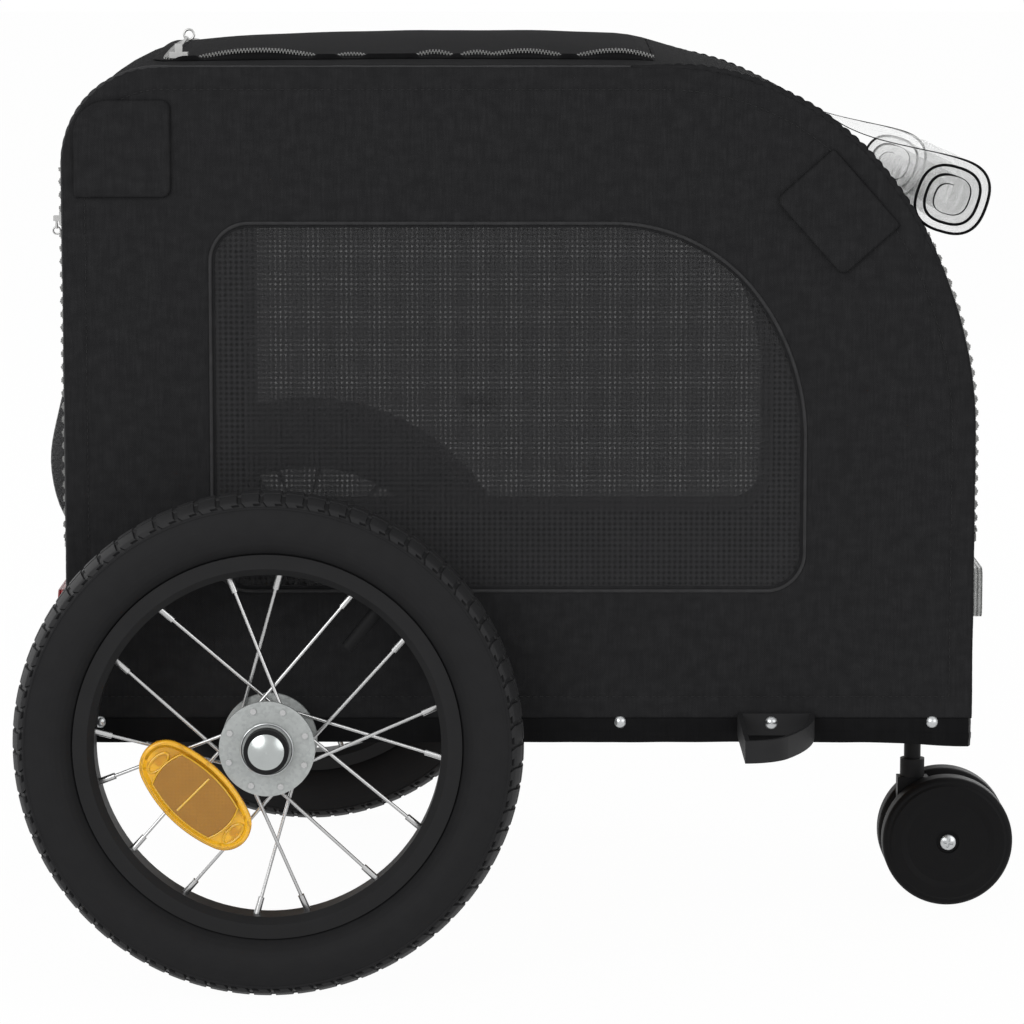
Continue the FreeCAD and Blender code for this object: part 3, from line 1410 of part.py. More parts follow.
def axles():
    """Quick-release axles with their end collars and push buttons."""
    middle = "-track / 2"
    tail = "-(rail_inner + axle_tail)"
    base = ("wheel_x", f"{middle} - collar_seat", "wheel_radius")
    bar = rod("axle_bar", "y", base, "axle_radius", f"{tail} - ({middle}) + collar_seat")
    bore = rod("axle_plunger_bore", "y", base, "plunger_diameter / 2 + fit_gap", "plunger_bore_depth")
    keep(pair("wheel_axles", cut("axle_right", bar, bore)))
    cup = [
        ("-collar_back", "axle_bore"),
        ("-collar_back", "collar_diameter / 2"),
        ("-collar_face", "collar_diameter / 2"),
        ("-collar_face", "button_diameter / 2 + button_side_gap"),
        ("-collar_seat", "button_diameter / 2 + button_side_gap"),
        ("-collar_seat", "axle_bore"),
    ]
    keep(pair("axle_collars", at_wheel(revolve("collar_right", "YZ_Plane", cup, "H_Axis"))))
    radius = "button_diameter / 2"
    dome = f"(({radius})^2 + button_dome^2) / (2 * button_dome)"
    knob = [
        ("-button_back + plunger_length", "0"),
        ("-button_back + plunger_length", "plunger_diameter / 2"),
        ("-button_back", "plunger_diameter / 2"),
        ("-button_back", radius),
        ("-button_back - button_rim", radius, dome, "ccw"),
        ("-button_back - button_rim - button_dome", "0"),
    ]
    right = keep(at_wheel(revolve("axle_button_right", "YZ_Plane", knob, "H_Axis")))
    keep(mirror("axle_button_left", right))


# Swivel caster


def caster_mount():
    """The socket under the front tube in which the caster's stem turns."""
    barrel = rod(
        "caster_barrel",
        "z",
        ("stem_x", "0", "caster_socket_bottom"),
        "caster_socket_diameter / 2",
        "rail_bottom - caster_socket_bottom",
    )
    low = ("cabin_front - hem_sheet - rail_width", "-caster_plate_width / 2", "rail_bottom - caster_plate")
    plate = box("caster_plate_block", low, ("cabin_front - hem_sheet", "caster_plate_width / 2", "rail_bottom"))
    whole = fuse("caster_mount_whole", barrel, plate)
    base = ("stem_x", "0", "caster_socket_bottom - overrun")
    depth = "rail_bottom - caster_socket_roof - caster_socket_bottom + overrun"
    keep(cut("caster_socket", whole, rod("caster_bore", "z", base, "stem_diameter / 2 + running_gap", depth)))


def caster_housing():
    """The web between the caster's wheels, with the collar that holds the stem."""
    boss = "housing_boss_radius"
    neck = "housing_neck / 2"
    outline = [
        (f"stem_x - {neck}", "housing_heel"),
        (f"stem_x - {neck}", "housing_top"),
        (f"stem_x + {neck}", "housing_top"),
        (f"caster_x + {boss}", f"caster_radius + {boss}"),
        (f"caster_x + {boss}", "caster_radius", boss, "cw"),
        ("caster_x", f"caster_radius - {boss}"),
    ]
    web = pad("housing_web", "XZ_Plane", [outline], "-housing_width / 2", "housing_width")
    low = "housing_top - running_gap"
    collar = rod("housing_collar", "z", ("stem_x", "0", low), "stem_collar_diameter / 2", f"stem_collar_top - ({low})")
    whole = fuse("housing_whole", web, collar)
    foot = ("stem_x", "0", "stem_foot")
    stem_bore = rod("housing_stem_bore", "z", foot, "stem_diameter / 2 + running_gap", "stem_top - stem_foot")
    bored = cut("housing_bored", whole, stem_bore)
    base = ("caster_x", "-housing_width", "caster_radius")
    axle_bore = rod("housing_axle_bore", "y", base, "caster_axle_diameter / 2 + running_gap", "2 * housing_width")
    keep(cut("caster_housing", bored, axle_bore))
    keep(rod("caster_stem", "z", foot, "stem_diameter / 2", "stem_top - stem_foot"))


def caster_wheels():
    """Two caster wheels on one axle with a screw at each end."""
    inner = "caster_inner_gap / 2"
    edge = "caster_edge_radius"
    face = "caster_half - caster_face_dish"
    bore = "caster_axle_diameter / 2 + running_gap"
    ring = "caster_ring_radius"
    floor = "caster_half - caster_recess_depth"
    outline = [
        (f"-({inner})", bore),
        (f"-({floor})", bore),
        (f"-({floor})", "caster_recess_diameter / 2"),
        (f"-({face})", "caster_recess_diameter / 2"),
        (f"-({face})", f"{ring} - caster_ring_width / 2"),
        ("-caster_half", f"{ring} + caster_ring_width / 2"),
        ("-caster_half", "caster_face_radius"),
        (f"-({face})", f"caster_radius - {edge}", edge, "cw"),
        (f"-({face}) + {edge}", "caster_radius"),
        (f"-({inner}) - {edge}", "caster_radius", edge, "cw"),
        (f"-({inner})", f"caster_radius - {edge}"),
    ]
    wheel = revolve("caster_wheel_right", "YZ_Plane", outline, "H_Axis")
    keep(place(wheel, "caster_x", "0", "caster_radius"))
    keep(mirror("caster_wheel_left", wheel))
    end = f"{floor} + seat_gap"
    bar = rod("caster_axle_bar", "y", ("caster_x", f"-({end})", "caster_radius"), "caster_axle_diameter / 2", f"2 * ({end})")
    heads = []
    for word, start in (("right", f"-({end}) - caster_screw_height"), ("left", end)):
        base = ("caster_x", start, "caster_radius")
        heads.append(rod(f"caster_screw_{word}", "y", base, "caster_screw_diameter / 2", "caster_screw_height"))
    keep(fuse("caster_axle", bar, *heads))


def check():
    """Stops if any object failed or any node is not a sound shape."""
    failed = [thing.Label for thing in doc.Objects if "Invalid" in thing.State or "Error" in thing.State]
    for piece in nodes:
        if piece.Shape.isNull() or not piece.Shape.isValid() or not piece.Shape.Solids:
            failed.append(piece.Label)
    if failed:
        raise RuntimeError("not sound: " + ", ".join(failed))


def write():
    """Writes each node to its own file."""
    os.makedirs("parts", exist_ok=True)
    for piece in nodes:
        piece.Shape.exportStep(f"parts/{piece.Label}.step")


def main():
    """Builds every sub-part in order, checks them and writes them."""
    fill_sheet()
    for build in (
        base_frame,
        drawbar_socket,
        axle_receivers,
        hoop,
        hoop_sockets,
        top_bars,
        side_panels,
        roof_and_rear,
        door_mesh,
        front_panels,
        rolled_cover,
        corner_flaps,
        fasteners,
        wheel_guards,
        plate_reflectors,
        zips,
        road_wheels,
        axles,
        caster_mount,
        caster_housing,
        caster_wheels,
    ):
        build()
    doc.recompute()
    check()
    write()
    print(len(nodes), "nodes written")


main()
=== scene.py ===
"""Dog bike trailer: cloth, closures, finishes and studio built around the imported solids."""

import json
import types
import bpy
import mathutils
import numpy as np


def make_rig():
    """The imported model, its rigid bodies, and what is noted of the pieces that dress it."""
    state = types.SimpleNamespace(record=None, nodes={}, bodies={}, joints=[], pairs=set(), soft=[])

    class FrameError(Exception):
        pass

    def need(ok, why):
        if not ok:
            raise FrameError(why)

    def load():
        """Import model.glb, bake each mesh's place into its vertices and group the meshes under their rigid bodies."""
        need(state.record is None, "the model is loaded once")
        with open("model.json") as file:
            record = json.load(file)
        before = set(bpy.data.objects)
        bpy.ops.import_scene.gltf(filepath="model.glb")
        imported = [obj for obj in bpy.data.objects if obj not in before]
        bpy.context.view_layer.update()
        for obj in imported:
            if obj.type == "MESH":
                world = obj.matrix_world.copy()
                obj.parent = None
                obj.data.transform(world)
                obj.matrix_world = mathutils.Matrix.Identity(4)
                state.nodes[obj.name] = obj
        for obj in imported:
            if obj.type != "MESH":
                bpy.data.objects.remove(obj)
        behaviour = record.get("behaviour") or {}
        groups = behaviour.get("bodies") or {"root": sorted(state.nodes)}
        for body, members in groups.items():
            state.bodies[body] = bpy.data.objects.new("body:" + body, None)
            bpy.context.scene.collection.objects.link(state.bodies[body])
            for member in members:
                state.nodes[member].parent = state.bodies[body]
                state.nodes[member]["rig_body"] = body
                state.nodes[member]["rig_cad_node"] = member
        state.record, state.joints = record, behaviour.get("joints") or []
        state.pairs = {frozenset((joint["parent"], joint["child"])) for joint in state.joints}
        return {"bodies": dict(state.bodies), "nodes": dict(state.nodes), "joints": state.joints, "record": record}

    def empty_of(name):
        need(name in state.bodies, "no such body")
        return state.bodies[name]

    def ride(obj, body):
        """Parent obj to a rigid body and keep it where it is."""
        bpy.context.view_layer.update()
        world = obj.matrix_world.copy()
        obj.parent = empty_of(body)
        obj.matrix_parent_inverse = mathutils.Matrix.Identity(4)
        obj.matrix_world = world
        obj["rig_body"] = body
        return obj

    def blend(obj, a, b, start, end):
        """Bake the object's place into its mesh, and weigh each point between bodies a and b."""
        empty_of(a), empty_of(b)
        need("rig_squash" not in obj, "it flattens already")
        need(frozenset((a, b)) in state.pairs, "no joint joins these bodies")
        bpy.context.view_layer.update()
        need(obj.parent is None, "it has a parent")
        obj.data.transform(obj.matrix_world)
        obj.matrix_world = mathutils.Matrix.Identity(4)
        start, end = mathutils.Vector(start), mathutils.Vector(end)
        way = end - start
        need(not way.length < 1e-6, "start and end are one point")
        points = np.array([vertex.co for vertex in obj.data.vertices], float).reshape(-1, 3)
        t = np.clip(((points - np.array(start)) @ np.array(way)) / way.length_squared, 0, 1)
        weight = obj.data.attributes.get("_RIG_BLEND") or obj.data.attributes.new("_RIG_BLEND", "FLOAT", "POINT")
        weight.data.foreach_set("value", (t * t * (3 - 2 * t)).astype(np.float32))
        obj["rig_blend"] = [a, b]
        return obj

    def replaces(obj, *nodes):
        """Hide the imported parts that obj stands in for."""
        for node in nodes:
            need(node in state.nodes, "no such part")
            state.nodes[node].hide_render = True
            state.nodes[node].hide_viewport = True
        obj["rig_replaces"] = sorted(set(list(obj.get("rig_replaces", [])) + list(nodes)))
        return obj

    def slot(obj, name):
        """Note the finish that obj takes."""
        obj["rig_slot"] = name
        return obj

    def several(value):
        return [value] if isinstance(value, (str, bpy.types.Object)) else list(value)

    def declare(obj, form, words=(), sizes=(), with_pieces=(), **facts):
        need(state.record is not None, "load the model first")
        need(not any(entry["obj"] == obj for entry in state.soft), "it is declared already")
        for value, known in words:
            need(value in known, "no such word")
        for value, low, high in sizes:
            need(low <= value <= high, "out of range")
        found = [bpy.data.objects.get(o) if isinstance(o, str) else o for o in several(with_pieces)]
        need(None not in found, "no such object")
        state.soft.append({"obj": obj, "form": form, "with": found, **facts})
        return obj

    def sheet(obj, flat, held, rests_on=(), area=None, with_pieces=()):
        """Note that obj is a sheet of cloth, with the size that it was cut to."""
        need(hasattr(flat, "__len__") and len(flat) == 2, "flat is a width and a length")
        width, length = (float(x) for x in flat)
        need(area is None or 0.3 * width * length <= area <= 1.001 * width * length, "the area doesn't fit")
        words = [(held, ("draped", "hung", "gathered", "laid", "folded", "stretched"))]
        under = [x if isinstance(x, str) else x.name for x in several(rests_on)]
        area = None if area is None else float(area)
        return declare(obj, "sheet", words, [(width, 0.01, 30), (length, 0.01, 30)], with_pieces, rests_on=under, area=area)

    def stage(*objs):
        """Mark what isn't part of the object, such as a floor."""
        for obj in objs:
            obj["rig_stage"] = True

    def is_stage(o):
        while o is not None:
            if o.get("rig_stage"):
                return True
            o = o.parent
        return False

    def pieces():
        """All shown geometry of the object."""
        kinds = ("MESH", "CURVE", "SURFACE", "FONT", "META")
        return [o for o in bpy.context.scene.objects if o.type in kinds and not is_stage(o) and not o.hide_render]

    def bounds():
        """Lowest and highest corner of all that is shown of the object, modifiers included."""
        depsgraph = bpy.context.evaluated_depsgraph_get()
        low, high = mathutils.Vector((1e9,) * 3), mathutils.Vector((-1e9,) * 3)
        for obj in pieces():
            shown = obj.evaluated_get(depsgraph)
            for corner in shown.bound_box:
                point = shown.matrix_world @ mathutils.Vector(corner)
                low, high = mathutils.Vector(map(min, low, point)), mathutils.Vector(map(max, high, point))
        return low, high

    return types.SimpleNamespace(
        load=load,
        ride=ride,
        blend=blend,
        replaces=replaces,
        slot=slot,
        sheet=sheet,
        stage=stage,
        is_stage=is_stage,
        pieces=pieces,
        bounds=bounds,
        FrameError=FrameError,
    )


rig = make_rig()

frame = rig.load()

import json
import logging
import math
from dataclasses import dataclass, field
from enum import Enum
from functools import cache
from typing import Callable, Optional, Sequence

import bpy
import numpy as np
from mathutils import Vector, noise

LOG = logging.getLogger("dog_bike_trailer")
CAD_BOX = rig.bounds()
MM = 0.001
TURN = 2 * math.pi
SIZE_FILE = "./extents.json"
HOOPS = ["side_hoop_right", "side_hoop_left"]

Tree = bpy.types.NodeTree
Socket = bpy.types.NodeSocket
Pair = tuple[float, float]
Triple = tuple[float, float, float]
Fold = tuple[Triple, Triple]


# Camera


@dataclass
class PhotoCamera:
    """The camera that stands where the photograph was taken from."""

    place: Triple = (-0.0152, -2.78445, 0.62332)
    pitch_deg: float = 82.5116
    lens_mm: float = 150.81
    sensor_mm: float = 36.0
    clip_far: float = 120.0

    def build(self) -> None:
        """Makes the camera and hands it to the scene."""
        data = bpy.data.cameras.new("photo_camera")
        data.lens = self.lens_mm
        data.sensor_width = self.sensor_mm
        data.clip_end = self.clip_far
        camera = bpy.data.objects.new("photo_camera", data)
        camera.location = self.place
        camera.rotation_euler = (math.radians(self.pitch_deg), 0, 0)
        bpy.context.scene.collection.objects.link(camera)
        bpy.context.scene.camera = camera


# Finishes


class Pattern(Enum):
    """How a finish varies over its surface."""

    WEAVE = "plain weave with slubs"
    NET = "open net"
    GRAIN = "fine moulded or sprayed grain"
    RINGS = "moulded rings round a wheel's axle"
    SPANGLE = "zinc spangle with pits"
    BRUSHED = "drawn or polished lines"
    PRISM = "moulded prisms"
    CRINKLE = "creased film"
    VENEER = "wood grain"


def linear(code: str) -> tuple[float, float, float, float]:
    """Turns an sRGB hex colour to linear light.

    Args:
        code: A colour such as #282828.

    Returns:
        Red, green, blue and an alpha of one.
    """
    shares = [int(code[start : start + 2], 16) / 255 for start in (1, 3, 5)]
    light = [s / 12.92 if s <= 0.04045 else ((s + 0.055) / 1.055) ** 2.4 for s in shares]
    return (*light, 1.0)


def add_node(tree: Tree, kind: str, inputs: Optional[dict] = None, **settings: object) -> bpy.types.Node:
    """Adds one shader node.

    Args:
        tree: The material's or world's tree.
        kind: The node's type after ShaderNode.
        inputs: Input names or numbers, each with a value or with a socket to link from.
        settings: The node's own properties.

    Returns:
        The new node.
    """
    node = tree.nodes.new("ShaderNode" + kind)
    for key, value in settings.items():
        setattr(node, key, value)
    for key, value in (inputs or {}).items():
        if isinstance(value, Socket):
            tree.links.new(value, node.inputs[key])
        else:
            node.inputs[key].default_value = value
    return node


# The two values of noise between which slubs, pits and the film's painted highlights go from nothing to their full
# share.
SLUB_RANGE = {1: 0.14, 2: 0.42}
PIT_RANGE = {1: 0.08, 2: 0.3}
FILM_GLINT_RANGE = {1: 0.35, 2: 0.72}
# How many times as long as wide a pattern's lines are, and the detail of their noise.
LINE_STRETCH = {Pattern.BRUSHED: (12, 3.0), Pattern.VENEER: (22, 4.0)}


@dataclass(frozen=True)
class Finish:
    """One real material: its colours, its gloss and the pattern that it shows."""

    name: str
    base: str
    second: str
    pattern: Pattern
    pitch_mm: float
    bump_mm: float = 0.05
    roughness: float = 0.5
    spread: float = 0.06
    metallic: float = 0.0
    ior: float = 1.5
    sheen: float = 0.0
    transmission: float = 0.0
    alpha: float = 1.0
    specular: float = 0.5
    open_share: float = 0.0
    hole_depth: float = 0.0
    centre: Triple = (0.0, 0.0, 0.0)

    @cache
    def material(self) -> bpy.types.Material:
        """Makes the material once and gives it back.

        Returns:
            The material of this finish.
        """
        made = bpy.data.materials.new(self.name)
        made.use_nodes = True
        made.diffuse_color = linear(self.base)
        tree = made.node_tree
        tree.nodes.clear()
        shade, height = self.draw(tree)
        ends = {0: shade, 6: linear(self.base), 7: linear(self.second)}
        colour = add_node(tree, "Mix", ends, data_type="RGBA")
        low, high = self.roughness - self.spread, self.roughness + self.spread
        rough = add_node(tree, "MapRange", {0: shade, 3: low, 4: high})
        bump = add_node(tree, "Bump", {"Strength": 1.0, "Distance": self.bump_mm * MM, "Height": height})
        looks = {"Base Color": colour.outputs[2], "Roughness": rough.outputs[0], "Normal": bump.outputs[0]}
        shader = add_node(tree, "BsdfPrincipled", {**looks, **self.body(tree)})
        add_node(tree, "OutputMaterial", {0: shader.outputs[0]})
        return made

    def body(self, tree: Tree) -> dict[str, object]:
        """What the material is all over, and where a net lets light through.

        Args:
            tree: The material's tree.

        Returns:
            The shader's inputs, each with a value or a socket.
        """
        values = {
            "Metallic": self.metallic,
            "Sheen Weight": self.sheen,
            "Transmission Weight": self.transmission,
            "Alpha": self.holes(tree) if self.open_share else self.alpha,
            "Specular IOR Level": self.specular,
        }
        if not self.metallic:
            values["IOR"] = self.ior
        return values

    def place(self, tree: Tree) -> Socket:
        """The coordinates of the pattern, in metres: along the cloth, or in the object."""
        cloth = self.pattern in (Pattern.WEAVE, Pattern.NET, Pattern.CRINKLE)
        return add_node(tree, "TexCoord").outputs["UV" if cloth else "Object"]

    def wave(self, tree: Tree, spot: Socket, axis: Sequence[float]) -> Socket:
        """A sine along an axis, one period to each pitch.

        Args:
            tree: The material's tree.
            spot: The coordinates.
            axis: The direction of the wave.

        Returns:
            The socket of the sine.
        """
        turns = TURN / (self.pitch_mm * MM)
        along = add_node(tree, "VectorMath", {0: spot, 1: [a * turns for a in axis]}, operation="DOT_PRODUCT")
        return add_node(tree, "Math", {0: along.outputs["Value"]}, operation="SINE").outputs[0]

    def noise(self, tree: Tree, spot: Socket, cell_mm: Sequence[float], detail: float = 2.0) -> Socket:
        """Cloudy noise whose cells have a size along each axis.

        Args:
            tree: The material's tree.
            spot: The coordinates.
            cell_mm: The cells' size along each axis.
            detail: How many finer layers it has.

        Returns:
            The socket of the noise.
        """
        scales = [1 / (cell * MM) for cell in cell_mm]
        scaled = add_node(tree, "VectorMath", {0: spot, 1: scales}, operation="MULTIPLY")
        cloud = add_node(tree, "TexNoise", {"Vector": scaled.outputs[0], "Scale": 1.0, "Detail": detail})
        return cloud.outputs[0]

    def holes(self, tree: Tree) -> Socket:
        """The opacity of a net: low in a hole and one on a thread, with soft edges as in fine knitting.

        Args:
            tree: The material's tree.

        Returns:
            The socket of the opacity.
        """
        spot = self.place(tree)
        ends = {1: -1.0, 2: 1.0, 3: 1.0 - self.hole_depth, 4: 1.0 + self.hole_depth}
        both = [
            add_node(tree, "MapRange", {0: self.wave(tree, spot, axis), **ends}).outputs[0]
            for axis in ((1, 0, 0), (0, 1, 0))
        ]
        hole = add_node(tree, "Math", {0: both[0], 1: both[1]}, operation="MULTIPLY")
        clear = add_node(tree, "Math", {0: hole.outputs[0], 1: self.open_share}, operation="MULTIPLY")
        return add_node(tree, "Math", {0: 1.0, 1: clear.outputs[0]}, operation="SUBTRACT").outputs[0]

    def draw(self, tree: Tree) -> tuple[Socket, Socket]:
        """Draws the pattern.

        Args:
            tree: The material's tree.

        Returns:
            The share of the second colour, and the height of the surface.
        """
        spot = self.place(tree)
        pitch = self.pitch_mm
        if self.pattern in (Pattern.WEAVE, Pattern.NET):
            across, along = (self.wave(tree, spot, axis) for axis in ((1, 0, 0), (0, 1, 0)))
            height = add_node(tree, "Math", {0: across, 1: along}, operation="MULTIPLY").outputs[0]
            warp = self.noise(tree, spot, (pitch, pitch * 14, pitch), 3.0)
            weft = self.noise(tree, spot, (pitch * 7, pitch * 5, pitch), 2.0)
            shade = add_node(tree, "Math", {0: warp, 1: weft}, operation="MULTIPLY")
            return add_node(tree, "MapRange", {0: shade.outputs[0], **SLUB_RANGE}).outputs[0], height
        if self.pattern == Pattern.RINGS:
            away = add_node(tree, "VectorMath", {0: spot, 1: self.centre}, operation="SUBTRACT")
            flat = add_node(tree, "VectorMath", {0: away.outputs[0], 1: (1, 0, 1)}, operation="MULTIPLY")
            radius = add_node(tree, "VectorMath", {0: flat.outputs[0]}, operation="LENGTH")
            factors = {0: radius.outputs["Value"], 1: TURN / (pitch * MM)}
            turns = add_node(tree, "Math", factors, operation="MULTIPLY")
            rings = add_node(tree, "Math", {0: turns.outputs[0]}, operation="SINE").outputs[0]
            return self.noise(tree, spot, (pitch * 3, pitch * 3, pitch * 3), 4.0), rings
        if self.pattern == Pattern.SPANGLE:
            scaled = add_node(tree, "VectorMath", {0: spot, "Scale": 1 / (pitch * MM)}, operation="SCALE")
            cells = add_node(tree, "TexVoronoi", {"Vector": scaled.outputs[0], "Scale": 1.0})
            shade = add_node(tree, "SeparateColor", {0: cells.outputs["Color"]}).outputs[0]
            pits = add_node(tree, "TexVoronoi", {"Vector": scaled.outputs[0], "Scale": 1.7})
            return shade, add_node(tree, "MapRange", {0: pits.outputs["Distance"], **PIT_RANGE}).outputs[0]
        if self.pattern in LINE_STRETCH:
            stretch, detail = LINE_STRETCH[self.pattern]
            streaks = self.noise(tree, spot, (pitch * stretch, pitch, pitch), detail)
            return streaks, streaks
        if self.pattern == Pattern.PRISM:
            first = self.wave(tree, spot, (0.7, 0.7, 0.7))
            other = self.wave(tree, spot, (-0.7, 0.7, 0.7))
            height = add_node(tree, "Math", {0: first, 1: other}, operation="MULTIPLY").outputs[0]
            return self.noise(tree, spot, (pitch * 4, pitch * 4, pitch * 4)), height
        if self.pattern == Pattern.CRINKLE:
            creases = self.noise(tree, spot, (pitch, pitch * 2, pitch), 5.0)
            # The film's colour goes in blotches from near white to grey: painted highlights and shade for what the
            # creased film mirrors; the creases themselves are its bumps.
            cloud = self.noise(tree, spot, (pitch * 2, pitch * 3, pitch * 2), 4.0)
            return add_node(tree, "MapRange", {0: cloud, **FILM_GLINT_RANGE}).outputs[0], creases
        grain = self.noise(tree, spot, (pitch, pitch, pitch), 3.0)
        return self.noise(tree, spot, (pitch * 14, pitch * 14, pitch * 14), 3.0), grain


WHEEL_AXLE = (-0.1605, 0.0, 0.1525)
CASTER_AXLE = (0.2704, 0.0, 0.0426)

# Matt black woven cloth with faint lighter slubs along the warp.
# Its 0.5 mm thread is drawn at 1.3 mm to show.
OXFORD = Finish("oxford_polyester", "#222223", "#29292a", Pattern.WEAVE, 1.3, 0.05, 0.9, specular=0.02)
# Smooth coated cloth: the weave shows only as a low ripple under a satin face.
COATED = Finish("pvc_coated_hem", "#0d0d0e", "#131314", Pattern.WEAVE, 1.6, 0.02, 0.55, 0.08, specular=0.05)
# Fine knitted net: dark threads and small soft holes that let some of the light behind through.
# Its 1.6 mm mesh is drawn at 3.3 mm to show.
NET = Finish("polyester_net", "#303031", "#333334", Pattern.NET, 3.3, 0.01, 0.75, specular=0.03,
             open_share=0.3, hole_depth=0.39)
# Bias-cut tape round the window: slightly lighter than the panels, with a soft shine. The roof seam's bead takes it
# too, where its lighter colour is a painted highlight along the seam.
PIPING = Finish("bias_piping", "#2b2b2c", "#363637", Pattern.WEAVE, 1.2, 0.03, 0.6, sheen=0.06, specular=0.1)
# Black herringbone tape under the zip teeth and over the raw seams.
TAPE = Finish("zip_tape", "#0f0f10", "#171718", Pattern.WEAVE, 1.5, 0.06, 0.8, specular=0.04)
# Bonded sewing thread: a little shinier than the cloth it lies on.
THREAD = Finish("sewing_thread", "#1d1d1e", "#252526", Pattern.GRAIN, 0.6, 0.03, 0.6, specular=0.2)
# Nickel-plated sliders and pulls, bright and slightly worn.
NICKEL = Finish("nickel_plate", "#bdbdbc", "#a3a3a2", Pattern.GRAIN, 0.8, 0.01, 0.3, 0.08, metallic=1.0)
# Nickel-plated zip teeth: small and worn, so darker than the sliders.
TEETH = Finish("nickel_plated_teeth", "#80807f", "#646463", Pattern.GRAIN, 0.8, 0.01, 0.36, 0.08,
               metallic=1.0)
# Black powder coat on steel: satin with an orange-peel grain.
POWDER = Finish("powder_coated_steel", "#0d0d0e", "#141415", Pattern.GRAIN, 0.9, 0.03, 0.45, specular=0.12)
# Black enamel on the rim, smoother than the frame's coat.
ENAMEL = Finish("enamelled_rim", "#161617", "#1d1d1e", Pattern.GRAIN, 1.4, 0.01, 0.42, specular=0.16)
# Galvanised steel pressing: dull grey crystals and small pits.
ZINC = Finish("galvanised_steel", "#999c9b", "#a9acab", Pattern.SPANGLE, 1.6, 0.05, 0.55, 0.08, metallic=0.7)
# Drawn stainless wire: bright with fine lines.
WIRE = Finish("stainless_wire", "#c4c4c4", "#a8a8a8", Pattern.BRUSHED, 0.4, 0.01, 0.28, metallic=1.0)
# Turned steel of axles, bolts and screw heads.
BRIGHT = Finish("zinc_plated_steel", "#c6c8c9", "#a9abac", Pattern.BRUSHED, 0.5, 0.01, 0.3, metallic=1.0)
# Push button in cast and polished zinc: bright, with soft edges to what it mirrors.
CHROME = Finish("chrome_plate", "#b9bdbc", "#a4a8a7", Pattern.GRAIN, 1.2, 0.02, 0.24, 0.06, metallic=1.0)
# Moulded black ABS with a fine spark-eroded grain.
ABS = Finish("moulded_abs", "#0f0f10", "#161617", Pattern.GRAIN, 0.7, 0.03, 0.5, specular=0.14)
# Satin nylon strip of the wheel guards, a shade lighter than the hem.
STRIP = Finish("extruded_nylon", "#1e1e1f", "#272728", Pattern.GRAIN, 0.9, 0.02, 0.55, specular=0.12)
# Polyurethane caster tread and disc: satin, with faint mould rings.
CASTER = Finish("polyurethane_caster", "#121213", "#161617", Pattern.RINGS, 1.6, 0.01, 0.5, specular=0.08,
                centre=CASTER_AXLE)
# Tyre rubber: matt, dusty grey-black, with moulded rings round the wall.
RUBBER = Finish("moulded_tyre_rubber", "#1c1c1d", "#232324", Pattern.RINGS, 3.2, 0.02, 0.65, specular=0.09,
                centre=WHEEL_AXLE)
# The tread of the same tyre: the same rubber painted a little lighter than the wall, painted light on the blocks, with
# a higher specular so that it shines a little where it faces the sky.
LIT_TREAD = Finish("tread_rubber_painted_lighter", "#202021", "#272728", Pattern.GRAIN, 1.2, 0.02, 0.55, specular=0.16)
# Butyl inner tube and valve, smooth black.
BUTYL = Finish("butyl_rubber", "#0e0e0f", "#131314", Pattern.GRAIN, 1.0, 0.02, 0.6, specular=0.12)
# Birch plywood floor, sealed: warm with long grain.
PLYWOOD = Finish("birch_plywood", "#b08f66", "#94744d", Pattern.VENEER, 1.6, 0.04, 0.55)
# Moulded amber acrylic: the thin border lets most light through and glows at its edges.
AMBER = Finish("amber_acrylic", "#ffcb38", "#fcc02c", Pattern.GRAIN, 6.0, 0.02, 0.08, 0.02, ior=1.49,
               transmission=0.6)
# Ribs and turned edges of that moulding, where light gathers.
AMBER_EDGE = Finish("amber_moulded_edge", "#f4c435", "#e9b427", Pattern.GRAIN, 6.0, 0.02, 0.15, 0.03,
                    ior=1.49, transmission=0.25)
# The thick middle of that moulding, with prisms on its back: browner and less clear.
AMBER_LENS = Finish("amber_prism_lens", "#c28c2c", "#b27e26", Pattern.PRISM, 3.0, 0.05, 0.16, 0.03, ior=1.49,
                    transmission=0.4)
# Moulded acrylic plates, red behind and clear in front, with prisms behind the face.
RED = Finish("red_acrylic", "#b3121b", "#8f0d15", Pattern.PRISM, 2.6, 0.25, 0.14, 0.03, ior=1.49,
             transmission=0.35)
CLEAR = Finish("clear_acrylic", "#dcdddb", "#8f9190", Pattern.PRISM, 3.4, 0.4, 0.14, 0.03, ior=1.49,
               transmission=0.35)
# Soft clear vinyl, rolled and creased: faintly grey with hard highlights. Its near-white colour with blotches of grey
# is painted highlights and shade for what the creased film mirrors.
FILM = Finish("clear_vinyl_film", "#eef0ee", "#a2a6a4", Pattern.CRINKLE, 5.0, 1.6, 0.08, 0.04, ior=1.54,
              alpha=0.36)


# Meshes


def unit(rows: np.ndarray) -> np.ndarray:
    """Rows of the same directions with a length of one."""
    return rows / np.linalg.norm(rows, axis=-1, keepdims=True)


def bearing_of(angle: np.ndarray) -> np.ndarray:
    """The direction of an angle, or a row for each of several."""
    return np.stack([np.cos(angle), np.sin(angle)], axis=-1)


def circle(count: int) -> np.ndarray:
    """Angles spread evenly over one turn."""
    return np.linspace(0, TURN, count, endpoint=False)


def on_circle(centre: Sequence[float], radius: np.ndarray, angles: np.ndarray) -> np.ndarray:
    """Points in a plane at angles round a centre, at one radius or at a radius each."""
    return np.asarray(centre) + np.asarray(radius)[..., None] * bearing_of(angles)


def upright(flat: np.ndarray, y: np.ndarray) -> np.ndarray:
    """Points of the XZ plane moved across the trailer, to one y or to a y each."""
    return np.column_stack([flat[:, 0], np.broadcast_to(y, len(flat)), flat[:, 1]])


